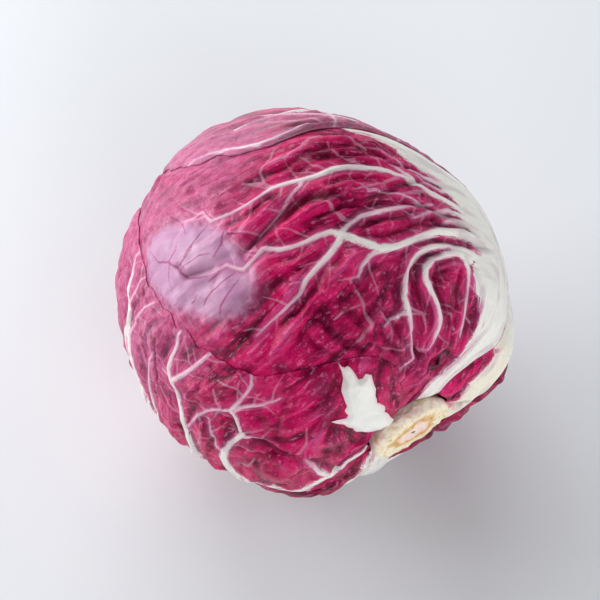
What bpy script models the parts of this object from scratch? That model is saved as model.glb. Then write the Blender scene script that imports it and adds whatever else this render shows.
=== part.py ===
"""Radicchio head (round Chioggia type) lying on its side, built leaf by leaf.

Every place on the head is given by two angles in degrees:
  turn  - round the stem axis, 0 at the top, +90 at the left front, 180 underneath
  reach - from the cut stem (0) over the head's widest part (90) to its closed tip (180)
A leaf is a thin closed shell. Its outline is a ring of (turn, reach) points round a blade
centre, and its height over the heart counts the leaves that lie under it, so leaves overlap
in the order of plan_leaves and never touch. Lengths are in millimetres until the last step.
"""

import math

import bmesh
import bpy
import numpy as np
from mathutils import Matrix, Vector, noise

MM = 0.001

# ---------------------------------------------------------------- head frame and sizes

HEAD_RADIUS = 56.0           # the head is about 112 mm across
CENTRE_HEIGHT = 54.6         # of the head's middle over the surface that it rests on
CHEEK_DEPTH = 46.5           # from the middle to the flattened end round the stem
TIP_LENGTH = 1.8             # extra reach of the closed tip
TIP_SHARPNESS = 5            # the larger, the nearer to the tip the head grows long
DENT_PLACE = (-58.0, 114.0)  # turn and reach of a shallow hollow in the head
DENT_WIDTH = 55.0            # degrees
DENT_DEPTH = 3.0
JOWL_PLACE = (-97.0, 28.0)   # the thick leaf base beside the stem bulges here
JOWL_WIDTH = 32.0
JOWL_DEPTH = 3.0

THICKNESS = 0.8              # of a blade between its ribs
GAP = 0.7                    # of air between one leaf and the next
STEP = THICKNESS + GAP
CLIMB = 11.0                 # a leaf takes this far to climb onto the leaf under it
CLEAR = 6.0                  # and has finished this far outside the other's margin
SETTLE = 16.0                # the heart gives way this far round a leaf's margin
SKIN_ALLOWANCE = 1.0         # room under HEAD_RADIUS for ribs and puckers
RIB_TALLNESS = 1.0           # a side rib stands as high as half its width
RIB_LIMIT = 1.5              # but no higher than this
MIDRIB_TALLNESS = 0.19       # the broad white midribs are flatter

STEM_ACROSS = 13.0           # half widths of the oval cut face
STEM_UPRIGHT = 10.0
STEM_CUT = 49.4              # the cut face lies this far from the head's middle
STEM_FOOT = 41.6             # and the stem is rooted this far from it
LEAF_FOOT = 15.0             # reach near which the leaf bases leave the stem
WAVE_IN_PLAN = 0.7           # how far a margin swings in and out
WAVE_IN_HEIGHT = 0.9         # how far a free margin lifts and falls

STEM_AXIS = np.array((0.565, -0.820, -0.096))
STEM_AXIS = STEM_AXIS / np.linalg.norm(STEM_AXIS)
TURN_UP = np.array((0.0, 0.0, 1.0)) - STEM_AXIS[2] * STEM_AXIS
TURN_UP = TURN_UP / np.linalg.norm(TURN_UP)
TURN_LEFT = np.cross(STEM_AXIS, TURN_UP)
MIDDLE = np.array((0.0, 0.0, CENTRE_HEIGHT))


def direction(turn, reach):
    """Unit vectors from the head's middle for angles in degrees."""
    turn = np.radians(np.asarray(turn, float))[..., None]
    reach = np.radians(np.asarray(reach, float))[..., None]
    ring = np.cos(turn) * TURN_UP + np.sin(turn) * TURN_LEFT
    return np.cos(reach) * STEM_AXIS + np.sin(reach) * ring


def angles(rays):
    """Turn and reach, in degrees, of unit vectors."""
    reach = np.degrees(np.arccos(np.clip(rays @ STEM_AXIS, -1.0, 1.0)))
    turn = np.degrees(np.arctan2(rays @ TURN_LEFT, rays @ TURN_UP))
    return turn, reach


def ramp(low, high, value):
    """0 below low, 1 above high, smooth between."""
    part = np.clip((value - low) / (high - low), 0.0, 1.0)
    return part * part * (3.0 - 2.0 * part)


def smaller(a, b, blend):
    """The smaller of two lengths, rounded over where they meet."""
    mix = np.clip(0.5 + 0.5 * (b - a) / blend, 0.0, 1.0)
    return b + (a - b) * mix - blend * mix * (1.0 - mix)


# ---------------------------------------------------------------- the leaves' plan
# Ribs are lines of (turn, reach, half width in mm). Creases are lines of (turn, reach).
# Lifts are (turn, reach, radius in mm, lift in mm): places where the blade stands prouder.

FRONT_OUTLINE = [
    (-48, 14.4), (-24, 13.2), (0, 12.8), (20, 13.2), (34, 18), (46, 26), (57, 38), (66, 52),
    (71, 68), (72, 85), (71, 100), (71, 115), (70, 128), (66, 139), (46, 150), (6, 154),
    (-30, 149), (-62, 140), (-90, 124), (-106, 105), (-113, 85), (-112, 62), (-104, 42),
    (-92, 26), (-80, 15.8), (-64, 15.2)]
FRONT_MIDRIB = [
    (-31, 14, 4.2), (-36, 20, 4.5), (-42, 25, 4.2), (-47, 29, 4.8), (-52, 34, 6.8),
    (-57, 40, 10.2), (-60, 46, 13.2), (-61, 53, 15.0), (-61, 60, 13.2), (-59, 68, 10.6),
    (-55.5, 76, 8.6), (-52.5, 81, 7.2), (-48.5, 86, 6.0), (-45, 90.5, 5.2), (-41.5, 94, 4.4),
    (-39.5, 98, 3.6), (-38, 103, 2.9), (-36, 107, 2.0), (-33, 110, 1.6), (-29, 114.5, 1.2),
    (-28, 121, 0.8)]
FRONT_RIBS = [
    [(-60, 60, 4.0), (-45, 66.8, 2.4), (-28.8, 69.7, 1.6), (-11.8, 70, 1.4), (-4.1, 73.7, 1.5),
     (1.2, 80, 1.6), (10.8, 83.9, 1.1), (20.4, 88.8, 1.0), (30.8, 90.3, 0.9), (37, 94, 0.7)],
    [(1.2, 80, 1.4), (13, 76.1, 1.1), (21, 73, 0.9), (29, 72, 0.7)],
    [(-50, 73, 2.4), (-40.8, 78.5, 1.8), (-31.3, 86, 1.4), (-25.5, 92.2, 1.4),
     (-14, 98, 1.4), (0.5, 100.5, 1.3), (18.4, 104.1, 1.0), (30, 110, 0.8), (38, 116, 0.6)],
    [(0.8, 100, 1.0), (12, 95.5, 0.8), (24, 91.5, 0.6)],
    [(-46, 60, 2.4), (-30.2, 65.3, 1.5), (-18.9, 65.8, 1.3), (-8.5, 59.9, 1.2),
     (-6.2, 53.4, 1.3), (-4.2, 45.6, 1.0), (-2.5, 38, 0.8), (4, 37.3, 0.6)],
    [(-40, 60, 2.2), (-27, 62.8, 1.4), (-17.9, 61.4, 1.3), (-16.3, 58.3, 1.3),
     (-19.1, 50.4, 1.3), (-16.4, 42.4, 1.0), (-12, 38.4, 0.7)],
    [(-37, 59.5, 1.6), (-37, 54.4, 1.2), (-34, 47.3, 1.0), (-31.8, 38, 0.7)],
    [(-24.3, 101.9, 0.7), (-21.8, 109.5, 0.9), (-11.4, 113.1, 1.0), (3.2, 111, 0.9),
     (9, 106, 0.8)]]
FRONT_CREASES = [
    [(-1.9, 92.5), (9.5, 92.2), (20.8, 92.3)],
    [(-15.5, 63.9), (-25.3, 63.7)],
    [(-19.7, 58.9), (-27.8, 58.9)],
    [(20.6, 64), (19.3, 55.2), (13.7, 46.8)]]
FRONT_LIFTS = [(40, 88, 20, 1.2), (10, 66, 12, 0.8), (12, 97, 9, 0.9)]

BACK_OUTLINE = [
    (-132, 14.6), (-118, 15.4), (-104, 15.8), (-98, 26), (-92, 42), (-88, 60), (-80, 80),
    (-66, 98), (-52, 108), (-38, 114), (-26, 117.4), (-18, 118.4), (-11, 117.8),
    (-3, 117.6), (2.5, 119.4), (7.5, 122.6), (12.5, 126.8), (18, 130.8), (24.5, 134),
    (29, 138.5), (44, 150), (80, 160), (130, 160), (175, 150), (-165, 136), (-156, 118),
    (-152, 96), (-152, 70), (-148, 46), (-142, 28)]
BACK_MIDRIB = [
    (-118, 17, 7.0), (-121, 34, 8.5), (-121, 52, 7.5), (-118, 72, 5.5), (-112, 92, 4.0),
    (-98, 112, 3.0), (-72, 128, 2.2), (-34, 138, 1.4), (0, 140, 0.8)]
BACK_CREASES = [[(-17.6, 123.1), (-31, 121), (-60, 118)]]

LEFT_OUTLINE = [
    (108, 15.7), (96, 16.2), (82, 16.2), (60, 15.2), (40, 14.2), (22, 13.6), (8, 20), (7.5, 28),
    (7, 35), (8.5, 40), (11, 44), (14.5, 47.5), (19, 50), (25, 52.2), (29.6, 53.7),
    (34.1, 56.2), (39.2, 56.6), (41.2, 59.1), (44.8, 61.2), (47.8, 62.8), (49.3, 66.2),
    (51.4, 70.2), (51.5, 73.5), (53.1, 78.4), (55.4, 81), (55.4, 84), (55.3, 89.5),
    (57.2, 91.5), (56.2, 94), (57, 98.1), (58.5, 104.7), (59.5, 112), (58.2, 116),
    (59.1, 122), (60, 132), (64, 144), (76, 154), (104, 159), (140, 155), (160, 142),
    (168, 124), (172, 104), (171, 82), (166, 62), (156, 50), (142, 42), (126, 34),
    (126, 30), (131, 26.8), (122, 23.5), (114, 19)]
LEFT_MIDRIB = [
    (103, 16, 1.4), (106, 24, 1.0), (112, 32, 1.4), (121, 42, 3.2), (126, 54, 4.6),
    (124, 68, 4.4), (117, 82, 3.8), (107, 96, 3.2), (96, 105, 2.6), (86, 110, 2.0)]
LEFT_RIBS = [
    [(120, 76, 3.2), (106, 73.5, 2.4), (92, 74, 1.8), (81.7, 77.5, 1.5), (73.3, 83.9, 1.4),
     (65.9, 87.5, 1.1), (57, 89.6, 0.8)],
    [(72.8, 83.9, 1.2), (64, 80.8, 1.0), (53.5, 78.4, 0.7)],
    [(126, 58, 3.4), (106, 61, 2.4), (91, 61.8, 1.7), (80.5, 60.1, 1.3), (73.1, 58, 1.3),
     (66.7, 61.9, 1.2), (61, 64, 1.0), (50, 65, 0.7)],
    [(64.6, 64.3, 1.0), (69.4, 69, 0.9), (78, 72.6, 0.9), (89, 75, 0.7)],
    [(64.9, 63.4, 1.0), (57.6, 59.2, 0.8), (49.5, 55.3, 0.6)],
    [(111, 30.5, 1.4), (98, 32.4, 1.4), (84.6, 34.6, 1.0), (77.5, 38.3, 0.6)],
    [(96, 105, 2.0), (82.8, 107.6, 1.2), (70, 106, 0.9), (59.5, 102.5, 0.6)],
    [(88, 109, 2.0), (77, 112, 1.4), (66.5, 118.6, 1.1), (60, 121.5, 0.7)],
    [(126, 64, 2.4), (140, 74, 1.6), (152, 86, 1.1), (162, 98, 0.6)],
    [(118, 84, 2.0), (132, 95, 1.4), (146, 108, 1.0), (158, 122, 0.6)],
    [(104, 98, 1.8), (116, 114, 1.2), (130, 132, 0.7)],
    [(126, 48, 2.4), (140, 52, 1.6), (154, 60, 1.1), (162, 72, 0.6)]]
LEFT_CREASES = [
    [(73.2, 54.5), (72.1, 47.9), (73.9, 39.8), (82.6, 32.9), (96, 29.5)],
    [(67.5, 63.4), (73.2, 60)],
    [(84, 86), (76, 92), (66, 95)]]
LEFT_LIFTS = [(88, 46, 8, 1.0), (60, 45, 8, 0.8), (84, 67, 6, 1.0)]

RIGHT_OUTLINE = [
    (-130, 14.8), (-110, 15.6), (-88, 16.2), (-70, 15.6), (-48.5, 15), (-48.4, 18.5),
    (-49, 22.5), (-53, 26.2), (-58, 30.5), (-69, 34.8), (-76, 42), (-81, 52), (-83, 62),
    (-84, 74), (-87, 86), (-93, 97), (-104, 109), (-118, 117), (-134, 118), (-147, 108),
    (-155, 92), (-157, 74), (-152, 54), (-145, 37), (-138, 24)]
RIGHT_MIDRIB = [
    (-116, 15, 5.0), (-113, 19, 6.2), (-101, 25, 7.8), (-92, 31, 9.3), (-90, 37, 12.0),
    (-94, 46, 13.5), (-99, 55, 12.0), (-104, 64, 9.5), (-109, 76, 6.5), (-114, 90, 4.0),
    (-119, 102, 2.2), (-123, 111, 1.0)]

UNDER_OUTLINE = [
    (-134, 14.6), (-150, 13.6), (-170, 12.9), (170, 12.9), (150, 13.6), (128, 14.8),
    (113, 15.6), (114, 18.5), (122, 23), (130, 27.6), (128, 36), (124, 47), (126, 62),
    (132, 78), (141, 94), (154, 108), (172, 116), (-168, 114), (-150, 103), (-137, 90),
    (-125, 76), (-113, 62), (-104, 51), (-98, 43), (-97, 38), (-101, 34), (-107, 30.5),
    (-117, 27), (-126, 24.5), (-134, 20)]
UNDER_MIDRIB = [
    (136, 14.5, 4.5), (144, 20, 4.8), (156, 26, 5.5), (170, 38, 6.5), (180, 52, 6.0),
    (-178, 66, 5.0), (-178, 82, 4.0), (-178, 96, 2.6), (-178, 106, 1.2)]
UNDER_LIFTS = [(-100, 38, 11, 2.2), (-112, 29, 8, 1.0)]

LINING_OUTLINE = [
    (150, 14.4), (170, 14), (-170, 14.4), (-160, 30), (-148, 50), (-140, 74), (-138, 98),
    (-142, 122), (-152, 142), (178, 157), (140, 161), (112, 152), (104, 132), (104, 108),
    (110, 84), (118, 60), (130, 38), (140, 24)]
LINING_MIDRIB = [
    (165, 17, 6.0), (170, 36, 7.0), (172, 60, 6.0), (172, 85, 4.5), (172, 110, 3.0),
    (168, 132, 1.6)]

TORN_OUTLINE = [
    (30, 13.4), (29, 18), (27.5, 23.9), (24.6, 29), (25.5, 31.5), (23.3, 34.9),
    (20.8, 37.2), (20, 40.2), (18.5, 42.3), (20, 44), (21.9, 43.3), (24, 43.9),
    (23.1, 47.2), (23.3, 49.4), (25.1, 52.4), (25.3, 49.4), (26.8, 47.6), (29.6, 46),
    (31.9, 44.5), (33.3, 42.4), (35.6, 39.3), (38.1, 38.7), (39.4, 36.4), (41.6, 35.9),
    (43.2, 37.4), (46.1, 39.5), (45.1, 35), (46.6, 30.6), (50.2, 25.6), (55, 16.5),
    (54, 15)]

STEM_CREAM = (0.76, 0.66, 0.52)
RIB_WHITE = (0.78, 0.77, 0.74)
MAGENTA = (0.30, 0.005, 0.045)
DEEP_MAGENTA = (0.20, 0.004, 0.032)
LILAC_MAGENTA = (0.36, 0.03, 0.10)


def pinnate_ribs(midrib, pairs, length, lean):
    """Side ribs for a midrib: pairs of curved ribs that lean towards the tip."""
    ribs = []
    line = direction([p[0] for p in midrib], [p[1] for p in midrib])
    widths = [p[2] for p in midrib]
    for number in range(2 * pairs):
        place = 0.28 + 0.6 * number / (2 * pairs)
        at = place * (len(line) - 1)
        low = int(at)
        start = line[low] + (line[low + 1] - line[low]) * (at - low)
        ahead = line[low + 1] - line[low]
        ahead = ahead / np.linalg.norm(ahead)
        side = np.cross(start, ahead) * (1 if number % 2 else -1)
        width = 0.32 * (widths[low] + (widths[low + 1] - widths[low]) * (at - low)) + 0.3
        rib = []
        for step in range(4):
            share = step / 3
            spot = start + side * length * share + ahead * length * lean * share ** 1.5
            turn, reach = angles((spot / np.linalg.norm(spot))[None, :])
            rib.append((turn[0], reach[0], width + (0.5 - width) * share))
        ribs.append(rib)
    return ribs


class Leaf:
    """One leaf's plan: where it lies, its outline, its ribs and how finely it is meshed."""

    def __init__(self, name, centre, outline, midrib, ribs, creases, lifts, cells, puff,
                 colour):
        self.name = name
        self.centre = direction(*centre)
        self.outline = outline
        self.midrib = midrib
        self.ribs = ribs
        self.creases = creases
        self.lifts = lifts
        self.cells = cells
        self.puff = puff
        self.colour = colour
        self.torn = not midrib
        self.ahead = STEM_AXIS - self.centre * (STEM_AXIS @ self.centre)
        self.ahead = self.ahead / np.linalg.norm(self.ahead)
        self.aside = np.cross(self.centre, self.ahead)
        self.measure_rim()
        self.margin_map = None

    def polar(self, rays):
        """Angle from the blade centre, and the bearing round it, in radians."""
        away = np.arccos(np.clip(rays @ self.centre, -1.0, 1.0))
        bearing = np.arctan2(rays @ self.aside, rays @ self.ahead)
        return away, bearing

    def measure_rim(self):
        """The rim's distance from the blade centre, for each half degree of bearing."""
        away, bearing = self.polar(direction(*zip(*self.outline)))
        order = np.argsort(bearing)
        self.bearings = np.radians(np.arange(-180.0, 180.0, 0.5))
        exact = np.interp(self.bearings, bearing[order], away[order], period=2 * math.pi)
        if self.torn:
            self.rim = exact
            self.soft_rim = blur_ring(exact, 10)
            return
        soft = blur_ring(exact, 5)
        wave = np.sin(26 * self.bearings + len(self.name)) + 0.6 * np.sin(41 * self.bearings)
        foot = ramp(0.35, 0.7, np.abs(np.arccos(np.cos(self.bearings))))
        self.rim = soft + foot * WAVE_IN_PLAN / HEAD_RADIUS * wave
        self.soft_rim = blur_ring(exact, 24)

    def rim_at(self, bearing):
        return np.interp(bearing, self.bearings, self.rim, period=2 * math.pi)

    def soft_rim_at(self, bearing):
        return np.interp(bearing, self.bearings, self.soft_rim, period=2 * math.pi)


def blur_ring(values, reach):
    """A ring of values, averaged with their neighbours (a soft, bell-shaped average)."""
    weights = np.exp(-0.5 * (np.arange(-3 * reach, 3 * reach + 1) / reach) ** 2)
    padded = np.concatenate((values[-3 * reach:], values, values[:3 * reach]))
    return np.convolve(padded, weights / weights.sum(), mode="valid")


def plan_leaves():
    """The leaves from the innermost to the outermost."""
    return [
        Leaf("leaf_inner_under", (172, 92), LINING_OUTLINE, LINING_MIDRIB,
             [], [], [], (18, 16), 0.5, DEEP_MAGENTA),
        Leaf("leaf_front", (-12, 80), FRONT_OUTLINE, FRONT_MIDRIB, FRONT_RIBS,
             FRONT_CREASES, FRONT_LIFTS, (32, 22), 0.8, MAGENTA),
        Leaf("leaf_back", (-100, 108), BACK_OUTLINE, BACK_MIDRIB,
             pinnate_ribs(BACK_MIDRIB, 4, 0.6, 0.9), BACK_CREASES, [], (26, 24), 0.7,
             LILAC_MAGENTA),
        Leaf("leaf_left", (92, 84), LEFT_OUTLINE, LEFT_MIDRIB, LEFT_RIBS, LEFT_CREASES,
             LEFT_LIFTS, (30, 20), 0.8, MAGENTA),
        Leaf("leaf_right", (-108, 62), RIGHT_OUTLINE, RIGHT_MIDRIB,
             pinnate_ribs(RIGHT_MIDRIB, 3, 0.4, 0.9), [], [], (20, 14), 0.6, RIB_WHITE),
        Leaf("leaf_under", (178, 62), UNDER_OUTLINE, UNDER_MIDRIB,
             pinnate_ribs(UNDER_MIDRIB, 3, 0.45, 0.9), [], UNDER_LIFTS, (18, 14), 0.8,
             DEEP_MAGENTA),
        Leaf("torn_leaf_base", (33, 29), TORN_OUTLINE, [], [], [], [], (14, 10), 0.3,
             RIB_WHITE)]


# ---------------------------------------------------------------- distances on the head

def distance_to_line(rays, points, closed=False):
    """Distance in mm from rays to a line of unit vectors, and the place along it."""
    ends = np.roll(points, -1, axis=0) if closed else points[1:]
    starts = points if closed else points[:-1]
    best = np.full(len(rays), 1e9)
    place = np.zeros(len(rays))
    for number, (start, end) in enumerate(zip(starts, ends)):
        span = end - start
        part = np.clip((rays - start) @ span / max(span @ span, 1e-12), 0.0, 1.0)
        apart = np.linalg.norm(rays - start - part[:, None] * span, axis=1) * HEAD_RADIUS
        nearer = apart < best
        best[nearer] = apart[nearer]
        place[nearer] = number + part[nearer]
    return best, place


MAP_STEP = 2.0
MAP_TURNS = np.arange(-180.0, 180.0 + MAP_STEP, MAP_STEP)
MAP_REACHES = np.arange(0.0, 180.0 + MAP_STEP, MAP_STEP)


def map_margin(leaf):
    """Signed distance in mm to a leaf's margin (inside is positive), mapped once."""
    turns, reaches = np.meshgrid(MAP_TURNS, MAP_REACHES, indexing="ij")
    rays = direction(turns.ravel(), reaches.ravel())
    bearings = leaf.bearings[::3]
    rim = leaf.rim[::3]
    ring = (np.cos(rim)[:, None] * leaf.centre
            + np.sin(rim)[:, None] * (np.cos(bearings)[:, None] * leaf.ahead
                                      + np.sin(bearings)[:, None] * leaf.aside))
    apart, _ = distance_to_line(rays, ring, closed=True)
    away, bearing = leaf.polar(rays)
    signed = np.where(away < leaf.rim_at(bearing), apart, -apart)
    leaf.margin_map = signed.reshape(turns.shape)


def margin(leaf, rays):
    """Signed distance in mm to a leaf's margin, read from its map."""
    turn, reach = angles(rays)
    column = np.clip((turn + 180.0) / MAP_STEP, 0.0, len(MAP_TURNS) - 1.001)
    row = np.clip(reach / MAP_STEP, 0.0, len(MAP_REACHES) - 1.001)
    left, low = column.astype(int), row.astype(int)
    across, along = column - left, row - low
    values = leaf.margin_map
    near = values[left, low] * (1 - across) + values[left + 1, low] * across
    far = values[left, low + 1] * (1 - across) + values[left + 1, low + 1] * across
    return near * (1 - along) + far * along


# ---------------------------------------------------------------- heights over the head

def head_shape(rays):
    """The head's outer radius: a ball, flattened round the stem, drawn out at its tip, with
    a shallow dent and a bulge."""
    along = rays @ STEM_AXIS
    cheek = CHEEK_DEPTH / np.maximum(along, 0.05)
    radius = smaller(np.full(len(rays), HEAD_RADIUS), cheek, 8.0)
    radius = radius + TIP_LENGTH * np.maximum(-along, 0.0) ** TIP_SHARPNESS
    dent = direction(*DENT_PLACE)
    off = np.degrees(np.arccos(np.clip(rays @ dent, -1.0, 1.0)))
    radius = radius - DENT_DEPTH * (1.0 - ramp(0.0, DENT_WIDTH, off))
    off = np.degrees(np.arccos(np.clip(rays @ direction(*JOWL_PLACE), -1.0, 1.0)))
    return radius + JOWL_DEPTH * (1.0 - ramp(0.0, JOWL_WIDTH, off))


def heart_room(leaves, rays):
    """Radius of the innermost leaf's inside: the head less the leaves that lie there."""
    radius = head_shape(rays) - SKIN_ALLOWANCE
    for leaf in leaves:
        if not leaf.torn:
            radius = radius - STEP * ramp(-SETTLE, SETTLE, margin(leaf, rays))
    return radius


def resting_limit(rays, depth):
    """The radius at which a ray comes within depth mm of the resting surface."""
    down = np.maximum(-rays[:, 2], 0.05)
    return (CENTRE_HEIGHT - depth) / down


def puckers(rays, size, seed):
    """Soft bumps between -1 and 1, size in mm."""
    scale = HEAD_RADIUS / size
    shift = Vector((seed * 7.3, seed * 3.1, seed * 5.7))
    return np.array([noise.noise(Vector(ray) * scale + shift) for ray in rays])


def rib_height(rays, rib, tallness, limit):
    """A rounded ridge along a rib, as tall as its half width times tallness, up to a limit."""
    points = direction([p[0] for p in rib], [p[1] for p in rib])
    apart, place = distance_to_line(rays, points)
    half = np.interp(place, np.arange(len(rib)), [p[2] for p in rib])
    across = np.clip(apart / (half * 1.25), 0.0, 1.0)
    return np.minimum(half * tallness, limit) * (1.0 - across ** 2) ** 2


def relief(leaf, number, rays):
    """Height of a leaf's outside over its plain blade, and what the inside shares of it."""
    blade = leaf.puff * (0.6 + 0.4 * puckers(rays, 15.0, number))
    pucker = 0.55 * (1.0 + puckers(rays, 7.0, number + 20))
    for crease in leaf.creases:
        line = direction([p[0] for p in crease], [p[1] for p in crease])
        apart, _ = distance_to_line(rays, line)
        blade = blade + 0.6 * (ramp(1.0, 4.5, apart) - ramp(4.5, 9.0, apart))
        pucker = pucker * ramp(0.5, 3.5, apart)
    for turn, reach, width, lift in leaf.lifts:
        off = np.linalg.norm(rays - direction(turn, reach), axis=1) * HEAD_RADIUS
        blade = blade + lift * np.exp(-(off / width) ** 2)
    ribs = np.zeros(len(rays))
    if leaf.midrib:
        ribs = rib_height(rays, leaf.midrib, MIDRIB_TALLNESS, 2 * RIB_LIMIT)
    for rib in leaf.ribs:
        ribs = np.maximum(ribs, rib_height(rays, rib, RIB_TALLNESS, RIB_LIMIT))
    return blade, pucker + ribs


def leaf_heights(leaves, number, rays):
    """Inner and outer radius of a leaf along each ray."""
    leaf = leaves[number]
    room = heart_room(leaves, rays)
    for under in leaves[:number]:
        room = room + STEP * ramp(-CLIMB - CLEAR, -CLEAR, margin(under, rays))
    own = margin(leaf, rays)
    uncovered = np.ones(len(rays))
    for over in leaves[number + 1:]:
        uncovered = uncovered * (1.0 - ramp(-CLIMB - CLEAR, -CLEAR, margin(over, rays)))
    blade, skin = relief(leaf, number, rays)
    thinning = ramp(0.0, 5.0, own)
    blade = blade * uncovered * ramp(0.0, 9.0, own)
    if not leaf.torn:
        _, bearing = leaf.polar(rays)
        wave = 0.5 + 0.5 * np.sin(19.0 * bearing + number)
        edge = 1.0 - ramp(0.0, 9.0, own)
        foot = ramp(LEAF_FOOT + 6.0, LEAF_FOOT + 20.0, angles(rays)[1])
        blade = blade + WAVE_IN_HEIGHT * wave * edge * foot * uncovered
    inner = room + blade
    outer = inner + THICKNESS + skin * uncovered * thinning
    layers_below_floor = {"leaf_under": 0.0, "leaf_left": STEP, "leaf_right": STEP}
    depth = layers_below_floor.get(leaf.name, 2 * STEP)
    inner = np.minimum(inner, resting_limit(rays, depth + THICKNESS))
    outer = np.minimum(outer, resting_limit(rays, depth))
    return inner, outer


# ---------------------------------------------------------------- mesh helpers

def new_object(name, colour, roughness):
    """An empty mesh object with its own material."""
    material = bpy.data.materials.new(name)
    material.use_nodes = True
    finish = material.node_tree.nodes["Principled BSDF"]
    finish.inputs["Base Color"].default_value = (*colour, 1.0)
    finish.inputs["Roughness"].default_value = roughness
    finish.inputs["Metallic"].default_value = 0.0
    mesh = bpy.data.meshes.new(name)
    mesh.materials.append(material)
    thing = bpy.data.objects.new(name, mesh)
    bpy.context.scene.collection.objects.link(thing)
    return thing


def finish_mesh(bm, thing):
    """Turn millimetres into metres, face outwards, triangulate and store."""
    bmesh.ops.scale(bm, vec=(MM, MM, MM), verts=bm.verts)
    bmesh.ops.triangulate(bm, faces=bm.faces)
    bmesh.ops.recalc_face_normals(bm, faces=bm.faces)
    bm.to_mesh(thing.data)
    bm.free()


def rays_of(verts):
    """The verts' directions as an array of unit vectors."""
    rays = np.array([vert.co[:] for vert in verts])
    return rays / np.linalg.norm(rays, axis=1, keepdims=True)


def place_on_rays(verts, radii):
    """Put each vert at its radius along its own direction from the head's middle."""
    for vert, ray, radius in zip(verts, rays_of(verts), radii):
        vert.co = Vector(MIDDLE + ray * radius)


def leaf_sheet(bm, leaf, cells):
    """A grid of cells x cells quads, wrapped onto a unit ball within the leaf's rim."""
    sheet = bmesh.ops.create_grid(bm, x_segments=cells, y_segments=cells, size=1.0)
    for vert in sheet["verts"]:
        x, y = vert.co.x, vert.co.y
        size = max(abs(x), abs(y))
        if size < 1e-9:
            bearing = 0.0
        elif abs(x) >= abs(y):
            bearing = math.pi / 4 * y / x + (math.pi if x < 0 else 0.0)
        else:
            bearing = math.pi / 2 - math.pi / 4 * x / y + (math.pi if y < 0 else 0.0)
        bearing = math.remainder(bearing, 2 * math.pi)
        rim, soft = float(leaf.rim_at(bearing)), float(leaf.soft_rim_at(bearing))
        away = size * (soft + (rim - soft) * size ** 4)
        vert.co = Vector(math.cos(away) * leaf.centre
                         + math.sin(away) * (math.cos(bearing) * leaf.ahead
                                             + math.sin(bearing) * leaf.aside))
    return sheet["verts"]


RIB_CELL = 2.6               # quads nearer than this to a rib's line are divided


def divide_along_ribs(bm, leaf):
    """Halve the inner edges that lie on or beside a rib."""
    edges = [edge for edge in bm.edges if not edge.is_boundary]
    mids = np.array([((edge.verts[0].co + edge.verts[1].co) / 2)[:] for edge in edges])
    near = np.full(len(edges), False)
    for rib in leaf.ribs:
        points = direction([p[0] for p in rib], [p[1] for p in rib])
        apart, _ = distance_to_line(mids, points)
        near |= apart < RIB_CELL
    chosen = [edge for edge, wanted in zip(edges, near) if wanted]
    bmesh.ops.subdivide_edges(bm, edges=chosen, cuts=1, use_grid_fill=True)


# ---------------------------------------------------------------- the pieces

def build_leaf(leaves, number):
    """One leaf: an outer sheet with its relief, a plainer inner one, and the rim between."""
    leaf = leaves[number]
    bm = bmesh.new()
    leaf_sheet(bm, leaf, leaf.cells[0])
    if leaf.ribs:
        divide_along_ribs(bm, leaf)
    outside = list(bm.verts)
    inside = leaf_sheet(bm, leaf, leaf.cells[1])
    inside_set = set(inside)
    _, outer = leaf_heights(leaves, number, rays_of(outside))
    inner, _ = leaf_heights(leaves, number, rays_of(inside))
    place_on_rays(outside, outer)
    place_on_rays(inside, inner)
    rim = [edge for edge in bm.edges if edge.is_boundary]
    outer_rim = [edge for edge in rim if edge.verts[0] not in inside_set]
    inner_rim = [edge for edge in rim if edge.verts[0] in inside_set]
    bmesh.ops.bridge_loops(bm, edges=outer_rim + inner_rim)
    finish_mesh(bm, new_object(leaf.name, leaf.colour, 0.38))


HEART_TURNS = 32
HEART_RINGS = 16
HEART_MARGINS = 5            # packed inner leaves whose margins show as steps


def build_heart(leaves):
    """The tightly packed inner leaves: one ball, stepped where their margins wrap over."""
    bm = bmesh.new()
    bmesh.ops.create_uvsphere(bm, u_segments=HEART_TURNS, v_segments=HEART_RINGS, radius=1.0)
    rays = rays_of(bm.verts)
    turn, reach = angles(rays)
    wrap = HEART_MARGINS * (turn + 0.8 * reach) / 360.0
    step = 0.9 * (wrap - np.floor(wrap)) * ramp(20.0, 60.0, reach)
    radii = heart_room(leaves, rays) - GAP - step
    along = np.maximum(rays @ STEM_AXIS, 0.05)
    radii = np.minimum(radii, (STEM_FOOT - GAP) / along)
    radii = np.minimum(radii, resting_limit(rays, 3 * STEP))
    place_on_rays(list(bm.verts), radii)
    finish_mesh(bm, new_object("heart", MAGENTA, 0.45))


STEM_SIDES = 48


def build_stem():
    """The cut stem: a short oval cone with a flat cut face and a rounded rim."""
    bm = bmesh.new()
    depth = STEM_CUT - STEM_FOOT
    bmesh.ops.create_cone(bm, cap_ends=True, segments=STEM_SIDES,
                          radius1=STEM_FOOT / STEM_CUT, radius2=1.0, depth=depth)
    for vert in bm.verts:
        bearing = math.atan2(vert.co.y, vert.co.x)
        uneven = 1.0 - 0.02 * (1.0 + math.sin(3 * bearing + 0.6))
        vert.co.x *= STEM_UPRIGHT * uneven
        vert.co.y *= STEM_ACROSS * uneven
    top_edges = [edge for edge in bm.edges
                 if all(vert.co.z > 0 for vert in edge.verts)]
    bmesh.ops.bevel(bm, geom=top_edges, offset=0.5, segments=2, profile=0.5,
                    affect="EDGES", material=-1)
    turn_to_axis = Matrix((TURN_UP, TURN_LEFT, STEM_AXIS)).transposed()
    bm.transform(turn_to_axis.to_4x4())
    place = MIDDLE + STEM_AXIS * (STEM_FOOT + depth / 2)
    bmesh.ops.translate(bm, verts=bm.verts, vec=Vector(place))
    finish_mesh(bm, new_object("stem_butt", STEM_CREAM, 0.6))


def clear_scene():
    for thing in list(bpy.data.objects):
        bpy.data.objects.remove(thing)


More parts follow.
